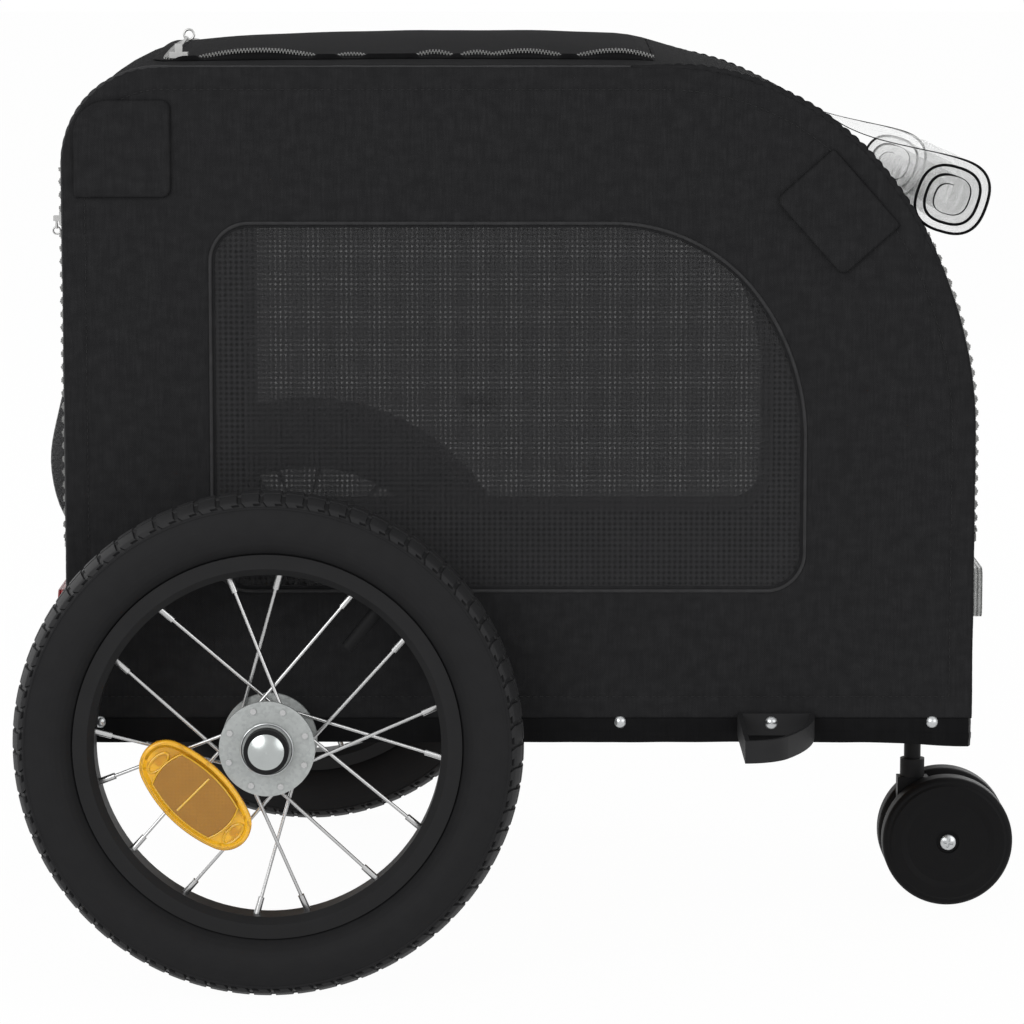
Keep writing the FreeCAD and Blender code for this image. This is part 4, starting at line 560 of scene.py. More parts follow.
def cloth_places(across: Sequence[float], along: Sequence[float]) -> np.ndarray:
    """Cloth coordinates of a grid, with a row for each place along it."""
    return np.stack(np.meshgrid(across, along), axis=-1)


def run_along(path: np.ndarray) -> np.ndarray:
    """The distance from a path's start to each of its points."""
    return np.append(0, np.cumsum(np.linalg.norm(np.diff(path, axis=0), axis=1)))


def even_points(path: np.ndarray, count: int) -> np.ndarray:
    """Points spread evenly along a flat path, without its end.

    Args:
        path: Rows of two coordinates.
        count: How many points.

    Returns:
        Rows of two coordinates.
    """
    gone = run_along(path)
    even = np.linspace(0, gone[-1], count, endpoint=False)
    return np.column_stack([np.interp(even, gone, path[:, column]) for column in (0, 1)])


def rounded_box(low: Pair, high: Pair, radii: Sequence[float], count: int) -> np.ndarray:
    """A rectangle with its own radius at each corner, from the lower left one round to its start.

    Args:
        low: The lower left corner.
        high: The upper right corner.
        radii: A radius for each corner.
        count: How many points each corner has.

    Returns:
        Rows of two coordinates.
    """
    corners = (
        (low[0], low[1], 1, 1, 180), (high[0], low[1], -1, 1, 270), (high[0], high[1], -1, -1, 0),
        (low[0], high[1], 1, -1, 90),
    )
    rows = []
    for (first, second, right, up, start), radius in zip(corners, radii):
        angles = np.radians(np.linspace(start, start + 90, count))
        rows.append(on_circle((first + right * radius, second + up * radius), radius, angles))
    return np.vstack([*rows, rows[0][:1]])


def ripple(first: float, second: float, *waves: Triple) -> float:
    """The height of waves in the cloth at a place, each wave with its height, a seed and its size."""
    return sum(high * noise.noise(Vector((first / cell, second / cell, seed))) for high, seed, cell in waves)


class Draft:
    """Points, cloth coordinates and faces of a mesh being drawn, in millimetres."""

    def __init__(self) -> None:
        """Starts empty."""
        self.points: list[np.ndarray] = []
        self.uvs: list[np.ndarray] = []
        self.faces: list[tuple[int, ...]] = []
        self.marks: list[int] = []
        self.count = 0

    def add(self, points: np.ndarray, uvs: Optional[np.ndarray] = None) -> int:
        """Adds points.

        Args:
            points: Rows of x, y and z.
            uvs: Rows of the place along and across the cloth; x and z where left out.

        Returns:
            The number of the first new point.
        """
        start = self.count
        points = np.asarray(points, float).reshape(-1, 3)
        uvs = points[:, (0, 2)] if uvs is None else np.asarray(uvs, float).reshape(-1, 2)
        self.points.append(points)
        self.uvs.append(uvs)
        self.count += len(points)
        return start

    def grid(
        self,
        points: np.ndarray,
        uvs: Optional[np.ndarray] = None,
        wrap: bool = False,
        keep: Optional[Callable[[int, int], bool]] = None,
        mark: int = 0,
    ) -> "Draft":
        """Adds a grid of quads.

        Args:
            points: An array of rows, columns and three coordinates.
            uvs: An array of rows, columns and two cloth coordinates.
            wrap: Whether the last column joins the first.
            keep: Says for a row and column whether that quad is kept.
            mark: The number of the quads' finish.

        Returns:
            This draft.
        """
        rows, columns = points.shape[:2]
        start = self.add(points, uvs)
        for row in range(rows - 1):
            for column in range(columns if wrap else columns - 1):
                if keep and not keep(row, column):
                    continue
                after = (column + 1) % columns
                here, above = start + row * columns, start + (row + 1) * columns
                self.faces.append((here + column, here + after, above + after, above + column))
                self.marks.append(mark)
        return self

    def fan(self, ring: np.ndarray, middle: Sequence[float], flip: bool = False, mark: int = 0) -> "Draft":
        """Closes a ring of points with triangles to a middle point.

        Args:
            ring: Rows of points.
            middle: The point that the triangles share.
            flip: Whether the triangles face the other way.
            mark: The number of their finish.

        Returns:
            This draft.
        """
        start = self.add(np.vstack([ring, np.asarray(middle, float)[None]]))
        count = len(ring)
        for index in range(count):
            pair = (start + index, start + (index + 1) % count)
            self.faces.append((*(reversed(pair) if flip else pair), start + count))
            self.marks.append(mark)
        return self

    def block(self, centre: np.ndarray, axes: np.ndarray, halves: Triple, crown: float = 0.72) -> None:
        """Adds a small block with a narrowed upper face, such as a zip tooth or a stitch.

        Args:
            centre: Its middle.
            axes: Three unit rows: along, across and up.
            halves: Half its size along each.
            crown: The upper face's share of the lower one.
        """
        corners = []
        for up, share in ((-1, 1.0), (1, crown)):
            for along, across in ((-1, -1), (1, -1), (1, 1), (-1, 1)):
                way = (along * halves[0] * share, across * halves[1] * share, up * halves[2])
                corners.append(centre + way[0] * axes[0] + way[1] * axes[1] + way[2] * axes[2])
        start = self.add(np.array(corners))
        for face in ((3, 2, 1, 0), (4, 5, 6, 7), (0, 1, 5, 4), (1, 2, 6, 5), (2, 3, 7, 6), (3, 0, 4, 7)):
            self.faces.append(tuple(start + corner for corner in face))
            self.marks.append(0)

    def tube(
        self,
        path: np.ndarray,
        radii: np.ndarray,
        side: Sequence[float],
        closed: bool = False,
        sides: int = 8,
        mark: int = 0,
    ) -> "Draft":
        """Adds a round tube along a path.

        Args:
            path: Rows of points.
            radii: A radius at each point.
            side: A direction that is never along the path.
            closed: Whether the path joins its own start.
            sides: How many faces go round it.
            mark: The number of its finish.

        Returns:
            This draft.
        """
        if closed:
            path, radii = np.vstack([path, path[:1]]), np.append(radii, radii[0])
            tangents = np.roll(path[:-1], -1, 0) - np.roll(path[:-1], 1, 0)
            tangents = np.vstack([tangents, tangents[:1]])
        else:
            tangents = np.gradient(path, axis=0)
        tangents = unit(tangents)
        first = unit(np.cross(tangents, side))
        second = np.cross(tangents, first)
        angles = np.linspace(0, TURN, sides + 1)
        cosines, sines = np.cos(angles)[None, :, None], np.sin(angles)[None, :, None]
        ring = first[:, None] * cosines + second[:, None] * sines
        points = path[:, None] + ring * radii[:, None, None]
        self.grid(points, cloth_places(angles * radii.mean(), run_along(path)), mark=mark)
        if not closed:
            self.fan(points[0, :-1], path[0], mark=mark)
            self.fan(points[-1, :-1], path[-1], flip=True, mark=mark)
        return self

    def mirrored(self) -> "Draft":
        """Draws the same mesh on the other side of the trailer.

        Returns:
            The mirrored draft.
        """
        other = Draft()
        other.points = [points * (1, -1, 1) for points in self.points]
        other.uvs = list(self.uvs)
        other.faces = [tuple(reversed(face)) for face in self.faces]
        other.marks = list(self.marks)
        other.count = self.count
        return other

    def sides(self) -> tuple[tuple[str, "Draft"], ...]:
        """This mesh for the right side and its mirror image for the left."""
        return ("right", self), ("left", self.mirrored())

    def piece(
        self, name: str, *finishes: Finish, wall: float = 0.0, side: float = -1.0, sharp: float = 45.0
    ) -> bpy.types.Object:
        """Turns the draft into an object in metres.

        Args:
            name: The piece's name.
            finishes: The finishes that the marks count.
            wall: The thickness that Solidify gives an open sheet, in millimetres.
            side: Where Solidify puts it, from -1 inwards to 1 outwards.
            sharp: The angle from which an edge is drawn sharp, in degrees.

        Returns:
            The new object.
        """
        mesh = bpy.data.meshes.new(name)
        mesh.from_pydata((np.vstack(self.points) * MM).tolist(), [], self.faces)
        layer = mesh.uv_layers.new(name="cloth")
        corners = np.zeros(len(mesh.loops), np.int32)
        mesh.loops.foreach_get("vertex_index", corners)
        layer.data.foreach_set("uv", (np.vstack(self.uvs)[corners] * MM).astype(np.float32).ravel())
        for finish in finishes:
            mesh.materials.append(finish.material())
        mesh.polygons.foreach_set("material_index", self.marks)
        mesh.polygons.foreach_set("use_smooth", [True] * len(self.faces))
        mesh.set_sharp_from_angle(angle=math.radians(sharp))
        mesh.update()
        made = bpy.data.objects.new(name, mesh)
        bpy.context.scene.collection.objects.link(made)
        if wall:
            thick = made.modifiers.new("wall", "SOLIDIFY")
            thick.thickness = wall * MM
            thick.offset = side
        return made


def settle(
    piece: bpy.types.Object, body: str, slot: str, *nodes: str, fold: Optional[Fold] = None
) -> bpy.types.Object:
    """Sets a piece on its body, names its slot and hides the solids that it stands for.

    Args:
        piece: The object.
        body: The body that carries it.
        slot: The record's material slot.
        nodes: Solids that it replaces.
        fold: Where cloth that is sewn to the frame starts to bend, and where it has turned with the body.

    Returns:
        The same object.
    """
    if fold:
        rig.blend(piece, "frame", body, start=fold[0], end=fold[1])
    else:
        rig.ride(piece, body)
    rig.slot(piece, slot)
    if nodes:
        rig.replaces(piece, *nodes)
    LOG.info("piece %s rides on %s", piece.name, body)
    return piece


# Outlines


@dataclass
class Outline:
    """The side outline of the cabin or of its window, in the XZ plane, in millimetres."""

    rear: float
    front: float
    foot: float
    top: float
    rear_radius: float
    arc_x: float
    arc_z: float
    arc_radius: float
    foot_radius: float = 0.0
    middle_back: float = 20.0
    ray: float = 600.0
    halvings: int = 40

    def bends(self) -> tuple[np.ndarray, float, np.ndarray, float, float]:
        """Works out the two arcs of the front.

        Returns:
            The centre and radius of each arc, and the angle where they meet in radians.
        """
        first, run, rise = self.arc_radius, self.front - self.arc_x, self.top - self.arc_z
        second = (run**2 + (rise - first) ** 2 - first**2) / (2 * (run - first))
        upper = np.array([self.arc_x, self.top - first])
        lower = np.array([self.front - second, self.arc_z])
        return upper, first, lower, second, math.atan2(rise - first, second - run)

    def middle(self) -> np.ndarray:
        """A point well inside, from which every ray crosses the outline once."""
        return np.array([(self.rear + self.front) / 2 - self.middle_back, (self.foot + self.top) / 2])

    def depth(self, spots: np.ndarray) -> np.ndarray:
        """How far points lie inside the outline.

        Args:
            spots: Rows of x and z.

        Returns:
            The distance to the outline at each point, negative outside.
        """
        x, z = spots[:, 0], spots[:, 1]
        result = np.minimum.reduce([x - self.rear, self.front - x, z - self.foot, self.top - z])
        upper, first, lower, second, meeting = self.bends()
        for centre, radius, start, end in ((upper, first, math.pi / 2, meeting), (lower, second, meeting, 0)):
            bearing = np.arctan2(z - centre[1], x - centre[0])
            inside = (bearing <= start) & (bearing >= end) & (x > centre[0])
            away = radius - np.linalg.norm(spots - centre, axis=1)
            result[inside] = np.minimum(result[inside], away[inside])
        corners = (
            (self.rear, self.top, 1, -1, self.rear_radius), (self.rear, self.foot, 1, 1, self.foot_radius),
            (self.front, self.foot, -1, 1, self.foot_radius),
        )
        for x_edge, z_edge, right, up, radius in corners:
            corner = np.array([x_edge + right * radius, z_edge + up * radius])
            inside = ((x - corner[0]) * right < 0) & ((z - corner[1]) * up < 0)
            result[inside] = radius - np.linalg.norm(spots[inside] - corner, axis=1)
        return result

    def ring(self, angles: np.ndarray, inset: float, middle: np.ndarray) -> np.ndarray:
        """Points where rays from a middle cross the outline moved in by an inset.

        Args:
            angles: The rays' angles in radians.
            inset: How far in, or out where negative.
            middle: Where the rays start.

        Returns:
            Rows of x and z.
        """
        ways = bearing_of(angles)
        low, high = np.zeros(len(angles)), np.full(len(angles), self.ray)
        for _ in range(self.halvings):
            half = (low + high) / 2
            within = self.depth(middle + ways * half[:, None]) > inset
            low, high = np.where(within, half, low), np.where(within, high, half)
        return middle + ways * low[:, None]

    def trace(self, step: float) -> np.ndarray:
        """Points from the rear foot over the top to the front foot.

        Args:
            step: About how far apart they are.

        Returns:
            Rows of run, x, z and the outward normal's x and z.
        """
        upper, first, lower, second, meeting = self.bends()
        corner = np.array([self.rear + self.rear_radius, self.top - self.rear_radius])
        legs = [
            ((self.rear, self.foot), (self.rear, corner[1]), (-1, 0)),
            (corner, self.rear_radius, math.pi, math.pi / 2),
            ((corner[0], self.top), (self.arc_x, self.top), (0, 1)),
            (upper, first, math.pi / 2, meeting),
            (lower, second, meeting, 0.0),
            ((self.front, self.arc_z), (self.front, self.foot), (1, 0)),
        ]
        rows = []
        for leg in legs:
            if len(leg) == 3:
                start, end = np.array(leg[0]), np.array(leg[1])
                shares = np.linspace(0, 1, max(2, int(np.linalg.norm(end - start) / step)))[:, None]
                spots = start + (end - start) * shares
                normals = np.repeat([leg[2]], len(spots), 0)
            else:
                centre, radius, begin, finish = leg
                angles = np.linspace(begin, finish, max(3, int(abs(finish - begin) * radius / step)))
                normals = bearing_of(angles)
                spots = centre + normals * radius
            rows.append(np.hstack([spots, normals])[0 if not rows else 1 :])
        table = np.vstack(rows)
        return np.hstack([run_along(table[:, :2])[:, None], table])


CABIN = Outline(-284.4, 263.6, 159.0, 553.0, 58.0, 76.0, 332.0, 168.0)
WINDOW = Outline(-197.0, 162.4, 236.7, 460.7, 24.0, 45.4, 329.7, 110.0, 24.0)


@dataclass
class Shell:
    """The crowned cloth over the rear, roof and front, as a surface over run and width."""

    half: float = 213.6
    crown: float = 18.0
    rear_crown: float = 1.0
    screen_crown: float = 1.5
    seam_deg: float = 54.1
    corner_shares: tuple[float, ...] = (0.055, 0.09, 0.13, 0.18, 0.25, 0.34, 0.46, 0.60)
    roof_places: tuple[float, ...] = (0.12, 0.28, 0.50, 0.75, 0.95, 1.0)
    roof_shares: tuple[float, ...] = (0.78, 0.90, 1.0, 1.0, 0.84, 0.60)
    front_shares: tuple[float, ...] = (0.34, 0.25, 0.20, 0.16, 0.13, 0.10, 0.08)
    smooth: Triple = (-8.0, 0.0, 8.0)
    seam_lap: float = 0.01
    table: np.ndarray = field(default_factory=lambda: CABIN.trace(0.5))

    def __post_init__(self) -> None:
        """Works out the runs of the seams and the crown at each station."""
        rear_end = CABIN.top - CABIN.rear_radius - CABIN.foot
        corner_end = rear_end + CABIN.rear_radius * math.pi / 2
        straight = CABIN.arc_x - CABIN.rear - CABIN.rear_radius
        arc = math.radians(90 - self.seam_deg) * CABIN.arc_radius
        self.roof_start = corner_end
        self.seam_run = corner_end + straight + arc
        runs = [0.0, *np.linspace(rear_end, corner_end, len(self.corner_shares))]
        runs += [corner_end + straight * share for share in self.roof_places]
        runs += list(corner_end + straight + np.linspace(0, arc, len(self.front_shares) + 1)[1:])
        shares = [self.rear_crown / self.crown, *self.corner_shares, *self.roof_shares, *self.front_shares]
        self.station_runs = np.array(runs)
        self.station_crowns = np.array(shares) * self.crown

    def run_of_x(self, x: float) -> float:
        """The run on the level roof above an x."""
        return self.roof_start + x - (CABIN.rear + CABIN.rear_radius)

    def run_of_front_z(self, z: float) -> float:
        """The run on the front below the arcs' meeting that has a height."""
        part = self.table[self.table[:, 0] > self.seam_run]
        return float(np.interp(-z, -part[:, 2], part[:, 0]))

    def crown_at(self, run: np.ndarray) -> np.ndarray:
        """Smooths the crown between its stations.

        Args:
            run: Where along the outline.

        Returns:
            The height of the crown there.
        """
        near = [np.interp(run + shift, self.station_runs, self.station_crowns) for shift in self.smooth]
        roof = sum(near) / len(near)
        return np.where(run > self.seam_run + self.seam_lap, self.screen_crown, roof)

    def at(self, run: np.ndarray, y: np.ndarray, lift: np.ndarray) -> tuple[np.ndarray, np.ndarray]:
        """Points on the surface.

        Args:
            run: Where along the outline.
            y: Where across the cabin.
            lift: How far out of the surface.

        Returns:
            The points and the outward normals.
        """
        run, y, lift = np.broadcast_arrays(*(np.asarray(place, float) for place in (run, y, lift)))
        x, z, nx, nz = (np.interp(run, self.table[:, 0], self.table[:, column]) for column in range(1, 5))
        size = np.hypot(nx, nz)
        nx, nz = nx / size, nz / size
        out = self.crown_at(run) * (1 - (y / self.half) ** 2) + lift
        points = np.stack([x + nx * out, y, z + nz * out], axis=-1)
        tilt = 2 * self.crown_at(run) * y / self.half**2
        return points, unit(np.stack([nx, tilt, nz], axis=-1))


SHELL = Shell()
# The share of a grid's step that its loose lines keep from its fixed ones.
NEAR_SHARE = 0.45


def lines(low: float, high: float, step: float, *fixed: float) -> np.ndarray:
    """Places from one end to the other, with fixed places among them.

    Args:
        low: The first place.
        high: The last place.
        step: About how far apart they are.
        fixed: Places that are kept, and that no other comes near.

    Returns:
        The places in order.
    """
    count, near = max(2, int(round((high - low) / step)) + 1), step * NEAR_SHARE
    loose = [v for v in np.linspace(low, high, count) if all(abs(v - f) > near for f in fixed)]
    return np.array(sorted({low, high, *fixed, *loose}))


# Zip chains and stitches


# The hatch flap is sewn to the roof at its front edge, and bends over the last 45 mm before it.
HATCH_FOLD = ((0.0694, 0.0, 0.565), (0.0244, 0.0, 0.565))
# Half a stitch along, across and up, and the share of its width that its top keeps.
STITCH = (1.35, 0.32, 0.28)
STITCH_CROWN = 0.6
STITCH_PITCH = 4.0
# How far either side of a stitch the path's direction is taken.
STITCH_REACH = 0.5


@dataclass
class ZipChain:
    """A run of zip teeth on two tapes: the inner one on what opens, the outer one on the frame.

    Each wave is a place along the trailer with its half length and its height.
    """

    name: str
    path: np.ndarray
    body: str
    waves: tuple[Triple, ...] = ()
    wave_round: float = 0.8
    lean_deg: Pair = (36.0, 58.0)
    crest: float = 0.0
    crest_end: float = 0.9
    crest_shares: Pair = (0.8, 1.0)
    dip: float = 0.0
    dip_pitch: float = 8.0
    cross_fade: float = 4.0
    pitch: float = 2.2
    tooth: Triple = (0.62, 1.5, 0.8)
    tooth_share: float = 0.55
    tooth_sharp: float = 30.0
    seat: float = 1.3
    inward: float = 1.0
    tape: float = 10.0
    shown: float = 7.8
    tape_wall: float = 0.4
    tape_step: float = 2.6
    tape_shares: tuple[float, ...] = (0.0, 0.3, 0.65, 1.0)
    tape_gap: float = 0.5
    tape_drop: float = 1.0
    tape_least: float = 0.3
    tape_foot: float = 0.25
    fold: Optional[Fold] = None

    def calm(self, along: np.ndarray) -> np.ndarray:
        """One where the chain runs along the trailer, and none where it crosses it."""
        return np.clip(1 - np.abs(along[:, 1]) * self.cross_fade, 0, 1)

    def frames(self, step: float) -> tuple[np.ndarray, ...]:
        """Evenly spaced places along the chain, on the cloth and where the chain's waves lift it.

        Args:
            step: How far apart.

        Returns:
            Points on the cloth with unit rows across and up, then lifted points with rows along,
            across and up, and the height of the waves.
        """
        gone = run_along(self.path)
        even = np.arange(0, gone[-1], step)
        run, y = (np.interp(even, gone, self.path[:, column]) for column in (0, 1))
        base, ups = SHELL.at(run, y, 0.0)
        along = unit(np.gradient(base, axis=0))
        across = unit(np.cross(ups, along) * self.inward)
        calm, hump = self.calm(along), np.zeros(len(even))
        for x, half, height in self.waves:
            share = np.clip(np.abs(base[:, 0] - x) / half, 0, 1)
            hump = np.maximum(hump, height * np.cos(share * math.pi / 2) ** self.wave_round * calm)
        dip = self.dip * (0.5 - 0.5 * np.cos(TURN * even / self.dip_pitch))
        lifted = base + ups * (hump - dip)[:, None]
        steep, most = self.lean_deg
        lean = np.radians(np.minimum(hump * steep, most))[:, None]
        lean_across = across * np.cos(lean) + ups * np.sin(lean)
        lean_up = ups * np.cos(lean) - across * np.sin(lean)
        return base, across, ups, lifted, along, lean_across, lean_up, hump

    def teeth(self, way: int) -> Draft:
        """Draws every second tooth of the chain: one tape's own.

        Args:
            way: 1 for the inner tape and -1 for the outer one.

        Returns:
            The draft of the teeth.
        """
        _, _, _, points, along, across, ups, _ = self.frames(self.pitch / 2)
        draft = Draft()
        for index in range(0 if way > 0 else 1, len(points), 2):
            axes = np.array([along[index], across[index], ups[index]])
            out = across[index] * way * self.tooth[1] * self.tooth_share
            draft.block(points[index] + out + ups[index] * self.seat, axes, self.tooth)
        return draft

    def cloth(self, way: int) -> tuple[Draft, float]:
        """Draws one tape, from under its teeth down to the cloth that it is sewn to.

        Args:
            way: 1 for the inner tape and -1 for the outer one.

        Returns:
            The draft of the tape, and its length.
        """
        base, across, ups, lifted, along, lean_across, lean_up, hump = self.frames(self.tape_step)
        drop = max(self.seat - self.tape_drop, self.tape_least)
        near = lifted + lean_across * way * self.tape_gap + lean_up * drop
        far = base + across * way * self.shown + ups * self.tape_foot
        shares = np.array(self.tape_shares)
        spots = near[:, None] + (far - near)[:, None] * shares[None, :, None]
        if way < 0:
            ridge = self.crest * np.clip(1 - hump / self.crest_end, 0, 1) * self.calm(along)
            rise = np.array(self.crest_shares)[None, :, None]
            spots[:, 1:3] += (ups * ridge[:, None])[:, None] * rise
        run = np.arange(len(base)) * self.tape_step
        spots = spots[:, ::-1] if way * self.inward > 0 else spots
        return Draft().grid(spots, cloth_places(shares * self.shown, run)), float(run[-1])

    def build(self) -> None:
        """Builds the teeth and tapes of both sides."""
        for way, word, body in ((1, "inner", self.body), (-1, "outer", "frame")):
            fold = self.fold if way > 0 else None
            teeth = self.teeth(way).piece(f"{self.name}_teeth_{word}", TEETH, sharp=self.tooth_sharp)
            settle(teeth, body, "bright_steel", fold=fold)
            draft, length = self.cloth(way)
            tape = draft.piece(f"{self.name}_tape_{word}", TAPE, wall=self.tape_wall, side=0.0)
            settle(tape, body, "polyester", fold=fold)
            flat = (self.tape * MM, round(length * MM, 4))
            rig.sheet(tape, flat=flat, held="stretched", rests_on=["roof_panel"])


def bent_path(corners: Sequence[Pair], radius: float, count: int = 9) -> np.ndarray:
    """A path over run and width whose corners are rounded.

    Args:
        corners: The path's corners.
        radius: The radius of each inner corner.
        count: How many points each rounded corner has.

    Returns:
        Rows of run and width.
    """
    spots = [np.array(c, float) for c in corners]
    rows = [spots[0]]
    for before, here, after in zip(spots, spots[1:], spots[2:]):
        first, last = here + unit(before - here) * radius, here + unit(after - here) * radius
        for share in np.linspace(0, 1, count):
            rows.append(first * (1 - share) ** 2 + here * 2 * share * (1 - share) + last * share**2)
    rows.append(spots[-1])
    return np.array(rows)


def sew(path: np.ndarray, up: Sequence[float]) -> Draft:
    """Draws a row of stitches along a path that joins its own start.

    Args:
        path: Rows of points.
        up: The direction out of the cloth.

    Returns:
        The draft of the stitches.
    """
    draft, loop = Draft(), np.vstack([path, path[:1]])
    gone = run_along(loop)
    up = np.asarray(up, float)
    for run in np.arange(STITCH_PITCH / 2, gone[-1], STITCH_PITCH):
        reach = (run - STITCH_REACH, run + STITCH_REACH)
        ends = [np.array([np.interp(place, gone, loop[:, c]) for c in range(3)]) for place in reach]
        along = unit(ends[1] - ends[0])
        axes = np.array([along, np.cross(up, along), up])
        draft.block((ends[0] + ends[1]) / 2, axes, STITCH, STITCH_CROWN)
    return draft


# Cabin


@dataclass
class SidePanels:
    """The side panels with their hemmed edges, window nets, piping and stitches.

    The edge and the sill are tables of an inset with the lift there, and the flange of an inset with a drop.
    """

    outer: float = 215.0
    wall: float = 1.2
    rays: int = 640
    trace_step: float = 1.0
    foot_points: int = 140
    edge: tuple[Pair, ...] = (
        (0.0, -0.35), (0.7, 0.25), (2.0, 0.5), (5.0, 0.5), (10.0, 0.5), (12.6, 0.35), (13.4, -0.1),
        (14.2, -0.1), (15.4, 0.1), (20.0, 0.0), (30.0, 0.0),
    )
    between_shares: tuple[float, ...] = (0.2, 0.4, 0.6, 0.8)
    sill: tuple[Pair, ...] = (
        (-16.0, 0.0), (-9.0, 0.05), (-6.2, 0.1), (-5.4, 0.15), (-4.6, 0.2), (-3.0, 0.25), (-0.6, 0.25),
        (0.0, 0.0),
    )
    sway: tuple[Triple, ...] = ((1.0, 1.3, 70.0), (0.5, 5.1, 28.0))
    sway_room: float = 30.0
    edge_sway: float = 0.12
    open_sway: float = 0.35
    open_rows: range = range(9, 17)
    stitch_inset: float = 13.4
    stitch_lift: float = 0.1
    bead_inset: float = 0.7
    bead_lift: float = 0.25
    bead_radius: float = 1.0
    bead_sides: int = 10
    bead_step: float = 0.2
    flange: tuple[Pair, ...] = ((-2.0, 0.6), (0.9, 0.4), (3.4, 1.1))
    net_rays: int = 160
    net_end: float = 0.02
    net_rings: int = 16
    net_wall: float = 0.3
    net_lap: float = 6.0
    net_drop: float = 1.35
    net_bow: float = 1.2
    net_sway: Triple = (0.35, 9.4, 60.0)
    cut: Pair = (0.548, 0.394)
    cut_area: float = 0.126
    net_cut: Pair = (0.371, 0.236)
    net_area: float = 0.0825

    def __post_init__(self) -> None:
        """Finds rays from the window's middle to places spread evenly along the cabin's outline."""
        self.middle = WINDOW.middle()
        table = CABIN.trace(self.trace_step)
        foot = [(x, CABIN.foot) for x in np.linspace(CABIN.front, CABIN.rear, self.foot_points)[1:-1]]
        away = even_points(np.vstack([table[:, 1:3], foot]), self.rays)
        corner = table[-1, 1:3]
        away[np.argmin(np.linalg.norm(away - corner, axis=1))] = corner
        away -= self.middle
        self.angles = np.arctan2(away[:, 1], away[:, 0])

    def rim(self, outline: Outline, inset: float) -> np.ndarray:
        """An outline moved in by an inset, where the panel's rays cross it."""
        return outline.ring(self.angles, inset, self.middle)

    def panel(self) -> Draft:
        """Draws the right panel as a ring between its edge and its window.

        Returns:
            The draft of the panel.
        """
        edges = [(self.rim(CABIN, inset), lift) for inset, lift in self.edge]
        sills = [(self.rim(WINDOW, inset), lift) for inset, lift in self.sill]
        last, first = edges[-1][0], sills[0][0]
        room = np.linalg.norm(last - self.middle, axis=1) - np.linalg.norm(first - self.middle, axis=1)
        room_share = np.clip(room / self.sway_room, 0, 1)
        between = [(last + (first - last) * share, 0.0) for share in self.between_shares]
        rows = []
        for order, (ring, lift) in enumerate([*edges, *between, *sills]):
            high = self.open_sway if order in self.open_rows else self.edge_sway
            sway = np.array([ripple(x, z, *self.sway) for x, z in ring])
            rows.append(upright(ring, -(self.outer + lift + sway * high * room_share)))
        return Draft().grid(np.array(rows)[::-1], wrap=True)

    def piping(self) -> Draft:
        """Draws the bead round the window and, under it, the flange that takes up the net's edge.

        Returns:
            The draft of the bead and its flange.
        """
        path = upright(self.rim(WINDOW, self.bead_inset), -self.outer - self.bead_lift)
        steps = np.linalg.norm(np.diff(np.vstack([path, path[:1]]), axis=0), axis=1)
        path = path[steps > self.bead_step]
        radii = np.full(len(path), self.bead_radius)
        strip = [upright(self.rim(WINDOW, inset), -(self.outer - drop)) for inset, drop in self.flange]
        draft = Draft().tube(path, radii, (0, 1, 0), closed=True, sides=self.bead_sides)
        return draft.grid(np.array(strip)[::-1], wrap=True, mark=1)

    def net(self) -> Draft:
        """Draws the window's net behind its opening, bowed a little between its edges.

        Returns:
            The draft of the net.
        """
        middle = self.middle
        rim = WINDOW.ring(circle(self.net_rays), -self.net_lap, middle)
        deep = self.outer - self.net_drop
        rows = []
        for share in np.linspace(1.0, self.net_end, self.net_rings):
            spots = middle + (rim - middle) * share
            bow = self.net_bow * (1 - share**2)
            sway = np.array([ripple(x, z, self.net_sway) for x, z in spots]) * (1 - share**4)
            rows.append(upright(spots, -(deep - bow + sway)))
        draft = Draft().grid(np.array(rows), wrap=True)
        return draft.fan(rows[-1], (middle[0], -(deep - self.net_bow), middle[1]))

    def build(self) -> None:
        """Builds both sides."""
        seam = upright(self.rim(CABIN, self.stitch_inset), -self.outer - self.stitch_lift)
        drafts = (self.panel(), sew(seam, (0, -1, 0)), self.net(), self.piping())
        for word, turned in (("right", drafts), ("left", [draft.mirrored() for draft in drafts])):
            cloth = turned[0].piece(f"side_cloth_{word}", OXFORD, wall=self.wall)
            settle(cloth, "frame", "polyester", f"side_panel_{word}")
            settle(turned[1].piece(f"side_stitches_{word}", THREAD), "frame", "polyester")
            net = turned[2].piece(f"window_net_{word}", NET, wall=self.net_wall, side=0.0)
            settle(net, "frame", "mesh", "window_meshes")
            edge = turned[3].piece(f"window_bead_{word}", PIPING, OXFORD)
            settle(edge, "frame", "piping", "window_piping")
            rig.sheet(cloth, flat=self.cut, held="stretched", rests_on=[f"side_hoop_{word}"],
                     area=self.cut_area, with_pieces=[edge])
            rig.sheet(net, flat=self.net_cut, held="stretched", rests_on=[f"side_panel_{word}"],
                     area=self.net_area)


